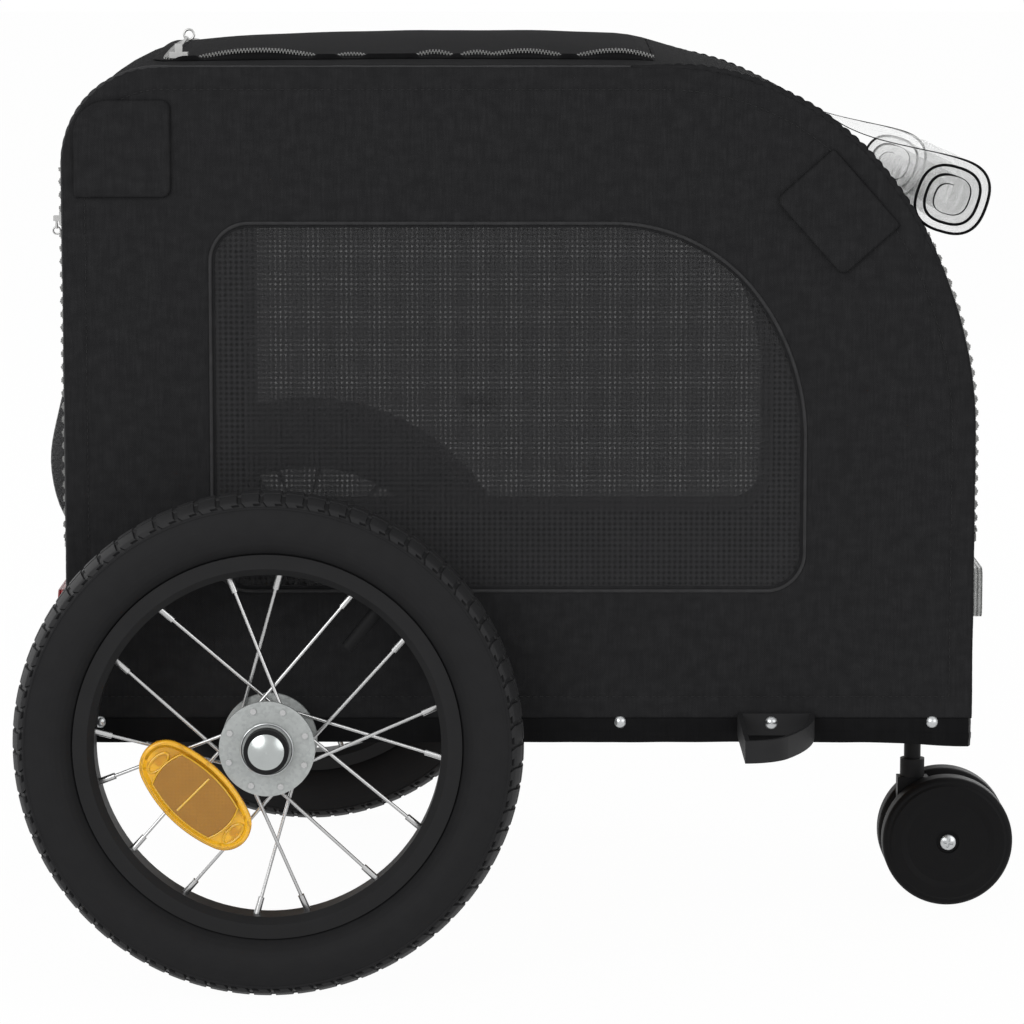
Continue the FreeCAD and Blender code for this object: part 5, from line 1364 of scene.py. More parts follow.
@dataclass
class Canopy:
    """The roof and rear cloth, its hatch flap and rear door, and the front screen and lower panel."""

    wall: float = 1.2
    step: float = 9.0
    roof_cut: Pair = (0.427, 0.835)
    roof_area: float = 0.166
    flap_cut: Pair = (0.35, 0.29)
    door_cut: Pair = (0.389, 0.229)
    door_area: float = 0.0675
    pocket_cut: Pair = (0.35, 0.13)
    screen_cut: float = 0.427
    lower_cut: Pair = (0.427, 0.107)
    hatch_x: Pair = (-220.0, 70.0)
    hatch_half: float = 175.0
    door_z: Pair = (262.0, 492.0)
    door_half: float = 195.0
    window_half: float = 135.0
    window_z: Pair = (284.0, 364.0)
    screen_foot: float = 266.0
    gap: float = 0.6
    sway: tuple[Triple, ...] = ((0.55, 2.2, 85.0), (0.25, 6.6, 30.0))
    gather: float = 0.4
    gather_pitch: float = 6.2
    gather_x: float = 73.0
    gather_fade: float = 20.0
    gather_sway: Triple = (1.5, 1.9, 40.0)
    gather_step: float = 1.03
    gather_end: float = 0.5
    gather_shares: Pair = (0.6, 0.4)
    gather_round: float = 0.7
    edge_power: int = 6
    net_wall: float = 0.5
    pocket_z: Pair = (266.0, 378.0)
    pocket_half: float = 165.0
    pocket_bulge: float = 20.0
    pocket_low: float = 0.62
    pocket_round: float = 0.9
    pocket_lift: float = 0.55
    pocket_sway: Triple = (1.2, 4.4, 38.0)
    pocket_lines: tuple[int, int] = (19, 45)
    binding_radius: float = 1.6

    def hatch_runs(self) -> Pair:
        """The runs of the hatch's rear and front edges."""
        return SHELL.run_of_x(self.hatch_x[0]), SHELL.run_of_x(self.hatch_x[1])

    def door_runs(self) -> Pair:
        """The runs of the door's lower and upper edges."""
        return self.door_z[0] - CABIN.foot, self.door_z[1] - CABIN.foot

    def lift(self, run: float, y: float) -> float:
        """Low waves in the cloth, which die out at the side seams, and gathers where the roof turns down.

        Args:
            run: The place along the outline.
            y: The place across the cabin.

        Returns:
            How far the cloth stands out there.
        """
        side = abs(y) / SHELL.half
        waves = (1 - min(1.0, side) ** self.edge_power) * ripple(run, y, *self.sway)
        if run > SHELL.seam_run:
            return waves
        share = min(1.0, max(0.0, (run - SHELL.run_of_x(self.gather_x)) / self.gather_fade))
        turns = (run + ripple(run, y, self.gather_sway)) / self.gather_pitch
        middle, edge = self.gather_shares
        fold = abs(math.sin(math.pi * turns)) ** self.gather_round
        return waves + share * self.gather * (middle + edge * side) * fold

    def sheet(
        self, runs: np.ndarray, widths: np.ndarray, keep: Optional[Callable[[float, float], bool]] = None
    ) -> Draft:
        """Draws a part of the shell.

        Args:
            runs: Grid lines along the outline.
            widths: Grid lines across the cabin.
            keep: Says for the middle of a cell whether it is cloth.

        Returns:
            The draft of the sheet.
        """
        lift = np.array([[self.lift(run, y) for y in widths] for run in runs])
        points, _ = SHELL.at(runs[:, None], widths[None, :], lift)
        places = cloth_places(widths, runs)
        mid_runs, mid_widths = (runs[1:] + runs[:-1]) / 2, ((widths[1:] + widths[:-1]) / 2)[::-1]
        kept = keep and (lambda row, column: keep(mid_runs[row], mid_widths[column]))
        return Draft().grid(points[:, ::-1], places[:, ::-1], keep=kept)

    def build(self) -> None:
        """Builds every sheet of the canopy."""
        hatch, door, half = self.hatch_runs(), self.door_runs(), SHELL.half
        last = SHELL.seam_run - self.gather_end
        gathers = np.arange(SHELL.run_of_x(self.gather_x), last, self.gather_step)
        runs = lines(0.0, SHELL.seam_run, self.step, *hatch, *door, *gathers)
        edges = (side * edge for side in (-1, 1) for edge in (self.hatch_half, self.door_half))
        widths = lines(-half, half, self.step, *edges)

        def cloth(run: float, y: float) -> bool:
            """Whether a place is in neither opening."""
            in_hatch = hatch[0] < run < hatch[1] and abs(y) < self.hatch_half
            return not in_hatch and not (door[0] < run < door[1] and abs(y) < self.door_half)

        roof = self.sheet(runs, widths, cloth).piece("roof_cloth", OXFORD, wall=self.wall)
        settle(roof, "frame", "polyester", "roof_panel")
        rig.sheet(roof, flat=self.roof_cut, held="stretched", rests_on=HOOPS, area=self.roof_area)
        self.flap(hatch)
        self.door(door)
        self.pocket()
        self.front()

    def flap(self, hatch: Pair) -> None:
        """Builds the hatch flap.

        Args:
            hatch: The runs of the hatch's edges.
        """
        edge = self.hatch_half - self.gap
        runs = lines(hatch[0] + self.gap, hatch[1] - self.gap, self.step)
        widths = lines(-edge, edge, self.step)
        flap = self.sheet(runs, widths).piece("roof_flap_cloth", OXFORD, wall=self.wall)
        settle(flap, "roof_flap", "polyester", "roof_flap", fold=HATCH_FOLD)
        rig.sheet(flap, flat=self.flap_cut, held="stretched", rests_on=["roof_panel"])

    def door(self, door: Pair) -> None:
        """Builds the rear door round its window.

        Args:
            door: The runs of the door's edges.
        """
        edge = self.door_half - self.gap
        sills = tuple(z - CABIN.foot for z in self.window_z)
        runs = lines(door[0] + self.gap, door[1] - self.gap, self.step, *sills)
        widths = lines(-edge, edge, self.step, -self.window_half, self.window_half)

        def cloth(run: float, y: float) -> bool:
            """Whether a place is outside the window."""
            return not (sills[0] < run < sills[1] and abs(y) < self.window_half)

        leaf = self.sheet(runs, widths, cloth).piece("rear_door_cloth", OXFORD, wall=self.wall)
        settle(leaf, "rear_door", "polyester", "rear_door")
        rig.sheet(leaf, flat=self.door_cut, held="hung", rests_on=["roof_panel"], area=self.door_area)

    def pocket(self) -> None:
        """Builds the net pocket that swells out of the door, and its bound edge."""
        shares = np.linspace(0, 1, self.pocket_lines[0])
        widths = np.linspace(self.pocket_half, -self.pocket_half, self.pocket_lines[1])
        foot, height = self.pocket_z[0], self.pocket_z[1] - self.pocket_z[0]
        rows = []
        for share in shares:
            bulge = self.pocket_bulge * math.sin(math.pi * share**self.pocket_low) ** self.pocket_round
            z = foot + height * share
            row = []
            for y in widths:
                side = 1 - (y / self.pocket_half) ** self.edge_power
                sway = ripple(y, z, self.pocket_sway) * side * math.sin(math.pi * share)
                out = self.pocket_lift + side * bulge + sway
                row.append((CABIN.rear - SHELL.rear_crown - out, y, z))
            rows.append(row)
        pocket = Draft().grid(np.array(rows), cloth_places(widths, shares * height))
        net = pocket.piece("rear_pocket_net", NET, wall=self.net_wall, side=0.0)
        settle(net, "rear_door", "mesh", "rear_door_mesh")
        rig.sheet(net, flat=self.pocket_cut, held="gathered", rests_on=["rear_door"])
        down, up = (row[-1] for row in rows[1:-1]), (row[0] for row in rows[-2:0:-1])
        edge = np.array([*rows[0], *down, *rows[-1][::-1], *up])
        binding = Draft().tube(edge, np.full(len(edge), self.binding_radius), (1, 0, 0), closed=True)
        settle(binding.piece("rear_pocket_binding", TAPE), "rear_door", "polyester")

    def front(self) -> None:
        """Builds the net screen over the front arc and the cloth panel below it."""
        foot = SHELL.run_of_front_z(self.screen_foot)
        widths = lines(-SHELL.half, SHELL.half, self.step)
        runs = lines(SHELL.seam_run + self.gap, foot - self.gap, self.step)
        screen = self.sheet(runs, widths).piece("front_screen_net", NET, wall=self.net_wall)
        settle(screen, "frame", "mesh", "front_screen")
        flat = (self.screen_cut, round((foot - SHELL.seam_run) * MM, 4))
        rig.sheet(screen, flat=flat, held="stretched", rests_on=HOOPS)
        runs = lines(foot, SHELL.table[-1, 0], self.step)
        panel = self.sheet(runs, widths).piece("front_lower_cloth", OXFORD, wall=self.wall)
        settle(panel, "frame", "polyester", "front_lower_panel")
        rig.sheet(panel, flat=self.lower_cut, held="stretched", rests_on=HOOPS)


@dataclass
class Seams:
    """The bound seam along both upper edges, puckered over the front, and the hem round the foot."""

    step: float = 0.75
    radius: float = 1.7
    pucker: float = 1.15
    pucker_pitch: float = 6.8
    pucker_least: float = 0.05
    pucker_round: float = 0.8
    radius_shares: Pair = (0.8, 0.06)
    stray: float = 0.2
    drift: Triple = (1.0, 8.8, 23.0)
    seam_y: float = 213.4
    sunk: float = 0.5
    proud: float = 1.1
    turn_x: float = 56.0
    turn_lap: float = 0.5
    fade_in: float = 40.0
    fade_end: float = 130.0
    fade_out: float = 60.0
    corner_run: float = 385.0
    corner_spread: float = 50.0
    corner_share: float = 0.4
    hem_low: float = 144.4
    hem_high: float = 159.6
    hem_side: float = 215.2
    hem_proud: float = 0.2
    hem_corner: float = 3.0
    hem_width: float = 15.0
    hem_cut: Pair = (1.965, 0.018)
    hem_wall: float = 0.8
    hem_points: int = 420
    hem_sway: tuple[Triple, ...] = ((0.5, 7.1, 60.0), (0.3, 2.9, 22.0))
    hem_droop: float = 2.8
    hem_droop_spread: float = 34.0
    hem_profile: tuple[Pair, ...] = (
        (-1.2, 0.2), (0.1, 0.0), (0.55, 0.4), (0.5, 0.3), (0.35, 0.55), (0.5, 0.8), (0.3, 0.97), (-0.5, 1.0),
    )

    def build(self) -> None:
        """Builds the bindings and the hem."""
        table = CABIN.trace(self.step)
        run, spots, normals = table[:, 0], table[:, 1:3], table[:, 3:5]
        turn, end = SHELL.run_of_x(self.turn_x), SHELL.seam_run + self.fade_end
        fade = np.clip((run - turn) / self.fade_in, 0, 1) * np.clip((end - run) / self.fade_out, 0, 1)
        corner = np.exp(-(((run - self.corner_run) / self.corner_spread) ** 2)) * self.corner_share
        beads = np.abs(np.sin(run * math.pi / self.pucker_pitch)) ** self.pucker_round
        drift = np.array([ripple(r, 0, self.drift) for r in run])
        puckers = self.pucker * beads * np.clip(fade + corner, self.pucker_least, 1)
        radii = self.radius * (self.radius_shares[0] + self.radius_shares[1] * drift) + puckers
        out = -self.sunk + self.stray * drift + self.proud * fade
        path = upright(spots + normals * out[:, None], -self.seam_y)
        rear, front = run <= turn + self.turn_lap, run >= turn - self.turn_lap
        # The rear and roof part of the bead takes the lighter piping finish as a painted highlight line along the
        # seam; the front part takes the panels' cloth.
        for word, chosen, finish in (("roof_seam", rear, PIPING), ("front_seam", front, OXFORD)):
            for side, draft in Draft().tube(path[chosen], radii[chosen], (0, 1, 0)).sides():
                settle(draft.piece(f"{word}_{side}", finish), "frame", "polyester")
        self.hem()

    def hem(self) -> None:
        """Builds the coated hem band that wraps the rails all round."""
        low = (CABIN.rear - self.hem_proud, -self.hem_side)
        high = (CABIN.front + self.hem_proud, self.hem_side)
        loop = rounded_box(low, high, (self.hem_corner,) * 4, 5)
        even = np.linspace(0, run_along(loop)[-1], self.hem_points, endpoint=False)
        ring = even_points(loop, self.hem_points)
        ways = np.roll(ring, -1, 0) - np.roll(ring, 1, 0)
        outs = unit(np.stack([ways[:, 1], -ways[:, 0]], axis=1))
        sway = np.array([ripple(e, 0, *self.hem_sway) for e in even])
        droop = -self.hem_droop * np.exp(-(((ring[:, 0] - high[0]) / self.hem_droop_spread) ** 2))
        rows = []
        for out, share in self.hem_profile:
            z = self.hem_low + (self.hem_high - self.hem_low) * share + (1 - share) * (sway + droop)
            rows.append(np.column_stack([ring + outs * out, z]))
        places = cloth_places(even, [share * self.hem_width for _, share in self.hem_profile])
        band = Draft().grid(np.array(rows), places, wrap=True).piece("hem_cloth", COATED, wall=self.hem_wall)
        settle(band, "frame", "pvc_hem", "hem_bands")
        rails = ["base_rail_right", "base_rail_left"]
        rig.sheet(band, flat=self.hem_cut, held="stretched", rests_on=rails)


@dataclass
class RolledCover:
    """The clear front cover, rolled up and bound in black along both side edges.

    Each row of the binding is a place across its tape, with how far past the film's edge and how far off
    the film it lies. The binding is thin on the tail and in the core, at shares of the tail and of the whole.
    """

    centre: Pair = (248.6, 476.2)
    outer: float = 24.0
    sheet: float = 1.2
    pitch: float = 5.6
    half_turns: int = 6
    turn_points: int = 33
    half: float = 203.0
    columns: int = 49
    seam_lift: float = 2.34
    tail_points: int = 34
    calm: float = 60.0
    folds: tuple[Triple, ...] = ((0.9, 3.3, 26.0), (0.5, 7.7, 11.0))
    binding: tuple[Triple, ...] = ((0.0, -6.0, 0.35), (6.0, -0.8, 0.85), (7.5, 0.6, 0.0))
    tail_shares: Pair = (0.8, 1.15)
    core_shares: Pair = (0.81, 0.83)
    thick_shares: tuple[float, ...] = (0.35, 1.0, 1.0, 0.3)
    square: float = 0.04
    square_turn: float = 1.3
    bar_back: float = 0.5
    bar_lift: float = 1.0
    bar_radius: float = 1.5
    bar_points: int = 60
    bar_inset: float = 4.0

    def squared(self, angle: float) -> float:
        """How far the roll bulges at an angle, since a slack roll is a little square."""
        return 1 - self.square * math.cos(4 * angle + self.square_turn)

    def __post_init__(self) -> None:
        """Finds the film's middle line, its outward normals and the distance along it."""
        self.line = self.path()
        ways = np.gradient(self.line, axis=0)
        self.normals = unit(np.stack([-ways[:, 1], ways[:, 0]], axis=1))
        self.gone = run_along(self.line)

    def path(self) -> np.ndarray:
        """The film's middle line from the roof seam into the roll.

        Returns:
            Rows of x and z.
        """
        upper, arc = CABIN.bends()[:2]
        slope = math.radians(SHELL.seam_deg)
        seam = upper + (arc + self.seam_lift) * bearing_of(slope)
        centre = np.array(self.centre)
        radius = self.outer - self.sheet / 2
        away = seam - centre
        bearing = math.atan2(away[1], away[0]) - math.acos(radius / np.linalg.norm(away))
        touch = centre + radius * self.squared(bearing) * bearing_of(bearing)
        reach = np.linalg.norm(touch - seam)
        leave = reach * np.array([math.sin(slope), -math.cos(slope)])
        arrive = reach * np.array([math.sin(bearing), -math.cos(bearing)])
        spots = []
        for t in np.linspace(0, 1, self.tail_points):
            first, last = (1 + 2 * t) * (1 - t) ** 2, t**2 * (3 - 2 * t)
            spots.append(seam * first + touch * last + leave * t * (1 - t) ** 2 + arrive * t**2 * (t - 1))
        here, turn = centre, bearing
        for _ in range(self.half_turns):
            for angle in np.linspace(turn, turn - math.pi, self.turn_points)[1:]:
                spots.append(here + radius * self.squared(angle) * bearing_of(angle))
            here = here - bearing_of(turn) * self.pitch / 2
            radius -= self.pitch / 2
            turn -= math.pi
        return np.array(spots)

    def film(self) -> Draft:
        """Draws the film with its creases.

        Returns:
            The draft of the film.
        """
        widths = np.linspace(-self.half, self.half, self.columns)
        rows = []
        for spot, normal, run in zip(self.line, self.normals, self.gone):
            calm = min(1.0, run / self.calm)
            folds = np.array([calm * ripple(run, y, *self.folds) for y in widths])
            rows.append(upright(spot + normal * folds[:, None], widths))
        return Draft().grid(np.array(rows), cloth_places(widths, self.gone))

    def bind(self, way: int) -> Draft:
        """Draws the binding of one edge.

        Args:
            way: -1 for the right edge and 1 for the left one.

        Returns:
            The draft of the binding.
        """
        tail, end = self.gone[self.tail_points - 1], self.gone[-1]
        stations = np.append(np.array(self.tail_shares) * tail, np.array(self.core_shares) * end)
        thick = np.interp(self.gone, stations, self.thick_shares)
        places = cloth_places(self.gone, [place for place, _, _ in self.binding])
        draft = Draft()
        for shift in (1, -1):
            strip = []
            for _, past, out in self.binding:
                spots = self.line + self.normals * (out * shift * thick)[:, None]
                strip.append(upright(spots, way * (self.half + past)))
            draft.grid(np.array(strip) if shift * way > 0 else np.array(strip)[::-1], places)
        return draft

    def build(self) -> None:
        """Builds the film, its bindings and the binding over its seam."""
        film = self.film().piece("rolled_film", FILM)
        settle(film, "frame", "clear_film", "rolled_cover")
        edges = []
        for word, way in (("right", -1), ("left", 1)):
            edge = self.bind(way).piece(f"film_binding_{word}", TAPE)
            edges.append(settle(edge, "frame", "clear_film"))
        flat = (2 * self.half * MM, round(self.gone[-1] * MM, 4))
        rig.sheet(film, flat=flat, held="folded", rests_on=["front_screen"], with_pieces=edges)
        reach = SHELL.half - self.bar_inset
        widths = np.linspace(-reach, reach, self.bar_points)
        spots, _ = SHELL.at(SHELL.seam_run - self.bar_back, widths, self.bar_lift)
        bar = Draft().tube(spots, np.full(self.bar_points, self.bar_radius), (1, 0, 0))
        settle(bar.piece("cover_seam_binding", TAPE), "frame", "polyester")


@dataclass
class CornerFlaps:
    """Padded hook-and-loop flaps over the four corner joints."""

    face: float = 215.35
    corner: float = 5.0
    sewn_corner: float = 1.5
    nose: float = 21.0
    corner_steps: int = 9
    edge_points: int = 120
    rear_low: Pair = (-277.4, 475.5)
    rear_size: Pair = (58.0, 58.0)
    front_hinge: Pair = (197.2, 481.7)
    front_size: Pair = (61.0, 46.0)
    front_tilt_deg: float = 48.4
    sway: float = 0.2
    sway_cell: float = 22.0
    profile: tuple[Pair, ...] = (
        (1.0, 1.3), (0.987, 2.3), (0.955, 2.9), (0.89, 3.0), (0.8, 2.9), (0.67, 2.7), (0.5, 2.5), (0.27, 2.4),
        (0.04, 2.4),
    )

    def edge(self, low: Pair, size: Pair, radii: Sequence[float]) -> np.ndarray:
        """A flap's outline, with its own radius at each corner."""
        high = (low[0] + size[0], low[1] + size[1])
        return even_points(rounded_box(low, high, radii, self.corner_steps), self.edge_points)

    def pad(self, loop: np.ndarray, seed: float) -> Draft:
        """Draws one flap, soft at its edges.

        Args:
            loop: Its outline.
            seed: A number for its ripples.

        Returns:
            The flap.
        """
        middle = loop.mean(0)
        rows = [upright(loop, -self.face)]
        for share, lift in self.profile:
            spots = middle + (loop - middle) * share
            sway = np.array([ripple(x, z, (self.sway, seed, self.sway_cell)) for x, z in spots])
            rows.append(upright(spots, -self.face - lift - sway))
        flap = Draft().grid(np.array(rows), wrap=True)
        flap.fan(rows[-1], (middle[0], -self.face - self.profile[-1][1], middle[1]))
        return flap.fan(rows[0], (middle[0], -self.face, middle[1]), flip=True)

    def build(self) -> None:
        """Builds the four flaps."""
        soft, sewn = self.corner, self.sewn_corner
        rear = self.edge(self.rear_low, self.rear_size, (sewn, soft, soft, self.nose))
        low = (-self.front_size[0] / 2, -self.front_size[1])
        flat = self.edge(low, self.front_size, (soft, soft, sewn, sewn))
        tilt = math.radians(-self.front_tilt_deg)
        spin = np.array([[math.cos(tilt), -math.sin(tilt)], [math.sin(tilt), math.cos(tilt)]])
        front = flat @ spin.T + np.array(self.front_hinge)
        for word, loop, size in (("rear", rear, self.rear_size), ("front", front, self.front_size)):
            for side, draft in self.pad(loop, size[1]).sides():
                name = f"corner_flap_{word}_{side}"
                cloth = settle(draft.piece(f"{name}_cloth", OXFORD), name, "polyester", name)
                flat_size = tuple(s * MM for s in size)
                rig.sheet(cloth, flat=flat_size, held="laid", rests_on=[f"side_panel_{side}"])


# Wheels


@dataclass
class Tyres:
    """The road tyres: moulded walls with a ridge, hooked shoulder blocks and a grooved crown.

    The section is a table of radii and half widths, and crown_from is its first row on the crown.
    The columns are places along one block in millimetres, with a share of a slot and of a hook at each.
    """

    axle: Triple = (-160.5, -265.0, 152.5)
    section: tuple[Pair, ...] = (
        (115.9, 10.6), (117.3, 13.0), (118.6, 15.0), (120.2, 16.7), (122.0, 18.3), (123.9, 19.6),
        (126.1, 20.6), (128.3, 21.4), (130.6, 21.8), (133.0, 22.0), (135.4, 21.9), (137.7, 21.5),
        (140.0, 20.9), (142.6, 19.9), (145.1, 18.6), (146.6, 17.6), (148.0, 16.5), (149.4, 13.8),
        (150.6, 11.0), (151.3, 8.7), (151.8, 6.5), (152.3, 3.6), (152.5, 0.0),
    )
    crown_from: int = 16
    wall: Pair = (115.9, 142.6)
    wall_rows: int = 14
    ridge_radii: tuple[float, ...] = (143.4, 143.8, 144.2, 144.6)
    ridge: float = 144.2
    ridge_half: float = 0.5
    ridge_rise: float = 0.5
    shoulder: Pair = (145.0, 148.0)
    shoulder_rows: int = 7
    slot_from: float = 0.6
    hook: Triple = (0.4, 1.6, 15.0)
    crown_widths: tuple[float, ...] = (15.4, 13.6, 11.6, 9.6, 8.2, 7.6, 7.2, 6.4, 6.0, 4.0, 2.0, 0.0)
    crown_groove: Pair = (6.2, 7.4)
    crown_sunk: float = 1.2
    crown_slot: float = 0.7
    crown_slot_from: float = 8.0
    groove: float = 1.5
    blocks: int = 72
    slant: float = 2.4
    columns: tuple[Triple, ...] = (
        (-1.5, 0, 0), (-1.1, 1, 1), (1.1, 1, 1), (1.5, 0, 1), (3.2, 0, 1), (5.4, 0, 1), (5.9, 0, 0),
        (9.0, 0, 0),
    )
    bead: Pair = (112.5, 9.5)
    sharp: float = 38.0

    def rows(self) -> list[tuple[float, float, float, float]]:
        """The half section from the bead to the crown.

        Returns:
            For each row its radius, half width, depth of a slot and rise all round.
        """
        table = np.array(self.section)
        low, high = self.shoulder
        wall = [*np.linspace(*self.wall, self.wall_rows), *self.ridge_radii]
        rows = []
        for radius in (*wall, *np.linspace(low, high, self.shoulder_rows)):
            slot = self.groove if radius > low + self.slot_from else 0.0
            rise = self.ridge_rise if abs(radius - self.ridge) < self.ridge_half else 0.0
            rows.append((radius, float(np.interp(radius, table[:, 0], table[:, 1])), slot, rise))
        crown = table[self.crown_from :]
        for width in self.crown_widths:
            radius = float(np.interp(-width, -crown[:, 1], crown[:, 0]))
            rise = -self.crown_sunk if self.crown_groove[0] <= width <= self.crown_groove[1] else 0.0
            slot = self.groove if width > self.crown_slot_from else self.crown_slot
            rows.append((radius, width, slot, rise))
        return rows

    def draw(self) -> Draft:
        """Draws the right tyre.

        Returns:
            The draft.
        """
        half = self.rows()
        section = np.array([*half, *((r, -w, s, rise) for r, w, s, rise in reversed(half[:-1]))])
        ways = np.gradient(section[:, :2], axis=0)
        outs = unit(np.stack([-ways[:, 1], ways[:, 0]], axis=1))
        places, slots, hooks = np.array(self.columns).T
        starts = np.arange(self.blocks)[:, None] * (TURN / self.blocks)
        low, high = self.shoulder
        hook_low, hook_high, hook_wide = self.hook
        centre = (self.axle[0], self.axle[2])
        points = []
        for (radius, width, slot, rise), out in zip(section, outs):
            share = float(np.clip((radius - low) / (high - low), 0, 1))
            hooked = low + hook_low < radius < low + hook_high and abs(width) > hook_wide
            depth = (self.groove * hooks if hooked else slot * slots) - rise
            angles = (starts + (places + self.slant * share)[None, :] / low).ravel()
            sunk = np.tile(depth, self.blocks)
            reach, side = radius - out[0] * sunk, width - out[1] * sunk
            points.append(upright(on_circle(centre, reach, angles), self.axle[1] - side))
        angles = circle(len(points[0]))
        for radius, width in ((self.bead[0], -self.bead[1]), self.bead):
            points.append(upright(on_circle(centre, radius, angles), self.axle[1] - width))
        points.append(points[0])
        draft = Draft().grid(np.array(points)[::-1], wrap=True)
        # Rows out on the shoulder and crown take the lighter tread finish, which is painted light on the blocks.
        treaded = [False, False, *(radius > low for radius in section[::-1, 0])]
        draft.marks = [int(row) for row in treaded for _ in angles]
        return draft

    def build(self) -> None:
        """Builds both tyres."""
        for word, draft in self.draw().sides():
            piece = draft.piece(f"treaded_tyre_{word}", RUBBER, LIT_TREAD, sharp=self.sharp)
            settle(piece, f"wheel_{word}", "tyre_rubber", f"tyre_{word}")


@dataclass
class SpokeReflectors:
    """The amber spoke reflectors: a clear border, a thicker lens with a rib, and an eye at each clip.

    The profiles are tables of an inset or a share, and the depth in front of the back at each.
    """

    centre: Pair = (-203.1, 124.83)
    back: float = 279.5
    tilt_deg: float = 45.0
    half: float = 40.35
    wide: float = 20.55
    end: float = 16.0
    end_points: int = 24
    side_points: int = 36
    profile: tuple[Pair, ...] = (
        (0.5, 0.0), (0.0, 0.6), (0.0, 3.8), (0.5, 4.6), (1.4, 5.0), (2.4, 5.0), (3.2, 4.2), (4.2, 3.1),
        (6.0, 3.0), (10.0, 3.0), (15.0, 3.0),
    )
    lens_half: float = 23.0
    lens_near: float = 2.0
    lens_bow: float = 3.0
    lens_points: int = 21
    lens_inset: float = 4.6
    lens_profile: tuple[Pair, ...] = ((1.0, 3.02), (1.0, 5.4), (0.97, 6.3), (0.9, 6.6), (0.4, 6.6))
    lens_rim: Pair = (6.0, 0.5)
    rib: Pair = (6.5, 0.75)
    rib_place: float = -1.5
    rib_half: float = 13.5
    rib_points: int = 25
    eye: Pair = (3.4, 0.8)
    eye_halves: Pair = (3.6, 7.6)
    eye_points: int = 40
    posts: tuple[Pair, ...] = ((-29.3, -1.5), (32.0, -0.7))
    post_radius: float = 2.3
    post_lap: float = 0.5
    post_points: int = 6
    post_sides: int = 16
    post_foot: float = 268.6
    sharp: float = 35.0

    def outline(self, inset: float) -> np.ndarray:
        """The oval's outline moved in, in its own plane, counter-clockwise.

        Args:
            inset: How far in.

        Returns:
            Rows of places along and across the oval.
        """
        flat = self.half - self.end
        side = (flat**2 + self.wide**2 - self.end**2) / (2 * (self.wide - self.end))
        drop = side - self.wide
        reach = math.atan2(self.end * drop / (side - self.end), self.end * flat / (side - self.end))
        spread = math.pi - 2 * reach
        arcs = (
            (flat, 0.0, self.end, -reach, 2 * reach, self.end_points),
            (0.0, -drop, side, reach, spread, self.side_points),
            (-flat, 0.0, self.end, math.pi - reach, 2 * reach, self.end_points),
            (0.0, drop, side, math.pi + reach, spread, self.side_points),
        )
        rings = []
        for u, v, radius, start, turn, count in arcs:
            angles = np.linspace(start, start + turn, count, endpoint=False)
            rings.append(on_circle((u, v), radius - inset, angles))
        return np.vstack(rings)

    def lens(self) -> np.ndarray:
        """The lens's outline: the oval's long sides, closed by two bowed ends.

        Returns:
            Rows of places along and across the oval.
        """
        loop = self.outline(self.lens_inset)
        top = float(np.max(loop[np.abs(loop[:, 0] - self.lens_half) < self.lens_near][:, 1]))
        upper = [(u, v) for u, v in loop if abs(u) < self.lens_half and v > 0]
        shares = np.linspace(1, -1, self.lens_points)
        ends = [(-self.lens_half - self.lens_bow * (1 - s**2), top * s) for s in shares]
        return np.array([*upper, *ends, *((-u, -v) for u, v in (*upper, *ends))])

    def place(self, flat: np.ndarray, depth: float) -> np.ndarray:
        """Moves points of the reflector's plane to the wheel.

        Args:
            flat: Rows of places along and across the oval.
            depth: How far in front of its back.

        Returns:
            Rows of points.
        """
        tilt = math.radians(self.tilt_deg)
        x = self.centre[0] + flat[:, 0] * math.cos(tilt) + flat[:, 1] * math.sin(tilt)
        z = self.centre[1] - flat[:, 0] * math.sin(tilt) + flat[:, 1] * math.cos(tilt)
        return upright(np.column_stack([x, z]), -self.back - depth)

    def shell(self, draft: Draft, rings: list[tuple[np.ndarray, float]], mark: int) -> None:
        """Closes a stack of rings at both ends.

        Args:
            draft: The mesh that takes them.
            rings: Each ring in the reflector's plane, with its depth.
            mark: The number of their finish.
        """
        placed = [self.place(ring, depth) for ring, depth in rings]
        draft.grid(np.array(placed), wrap=True, mark=mark)
        draft.fan(placed[-1], placed[-1].mean(0), mark=mark)
        draft.fan(placed[0], placed[0].mean(0), flip=True, mark=mark)

    def wire(self, draft: Draft, path: np.ndarray, size: Pair, closed: bool) -> None:
        """Lays a moulded edge of a depth and a radius along a path of the reflector's plane."""
        depth, radius = size
        draft.tube(self.place(path, depth), np.full(len(path), radius), (0, 1, 0), closed=closed, mark=2)

    def build(self) -> None:
        """Builds both reflectors."""
        draft, loop = Draft(), self.lens()
        self.shell(draft, [(self.outline(inset), depth) for inset, depth in self.profile], 0)
        self.shell(draft, [(loop * share, depth) for share, depth in self.lens_profile], 1)
        across = np.linspace(-self.rib_half, self.rib_half, self.rib_points)
        rib = np.column_stack([np.full(self.rib_points, self.rib_place), across])
        self.wire(draft, rib, self.rib, False)
        self.wire(draft, loop, self.lens_rim, True)
        drop = self.back + self.post_lap - self.post_foot
        for post in self.posts:
            eye = np.array(post) + np.array(self.eye_halves) * bearing_of(circle(self.eye_points))
            self.wire(draft, eye, self.eye, True)
            top = self.place(np.array([post]), self.post_lap)[0]
            stem = np.array([top + (0, down, 0) for down in np.linspace(0, drop, self.post_points)])
            draft.tube(stem, np.full(self.post_points, self.post_radius), (1, 0, 0), sides=self.post_sides)
        for word, made in draft.sides():
            piece = made.piece(f"amber_reflector_{word}", AMBER, AMBER_LENS, AMBER_EDGE, sharp=self.sharp)
            settle(piece, f"wheel_{word}", "amber_lens", f"spoke_reflector_{word}")


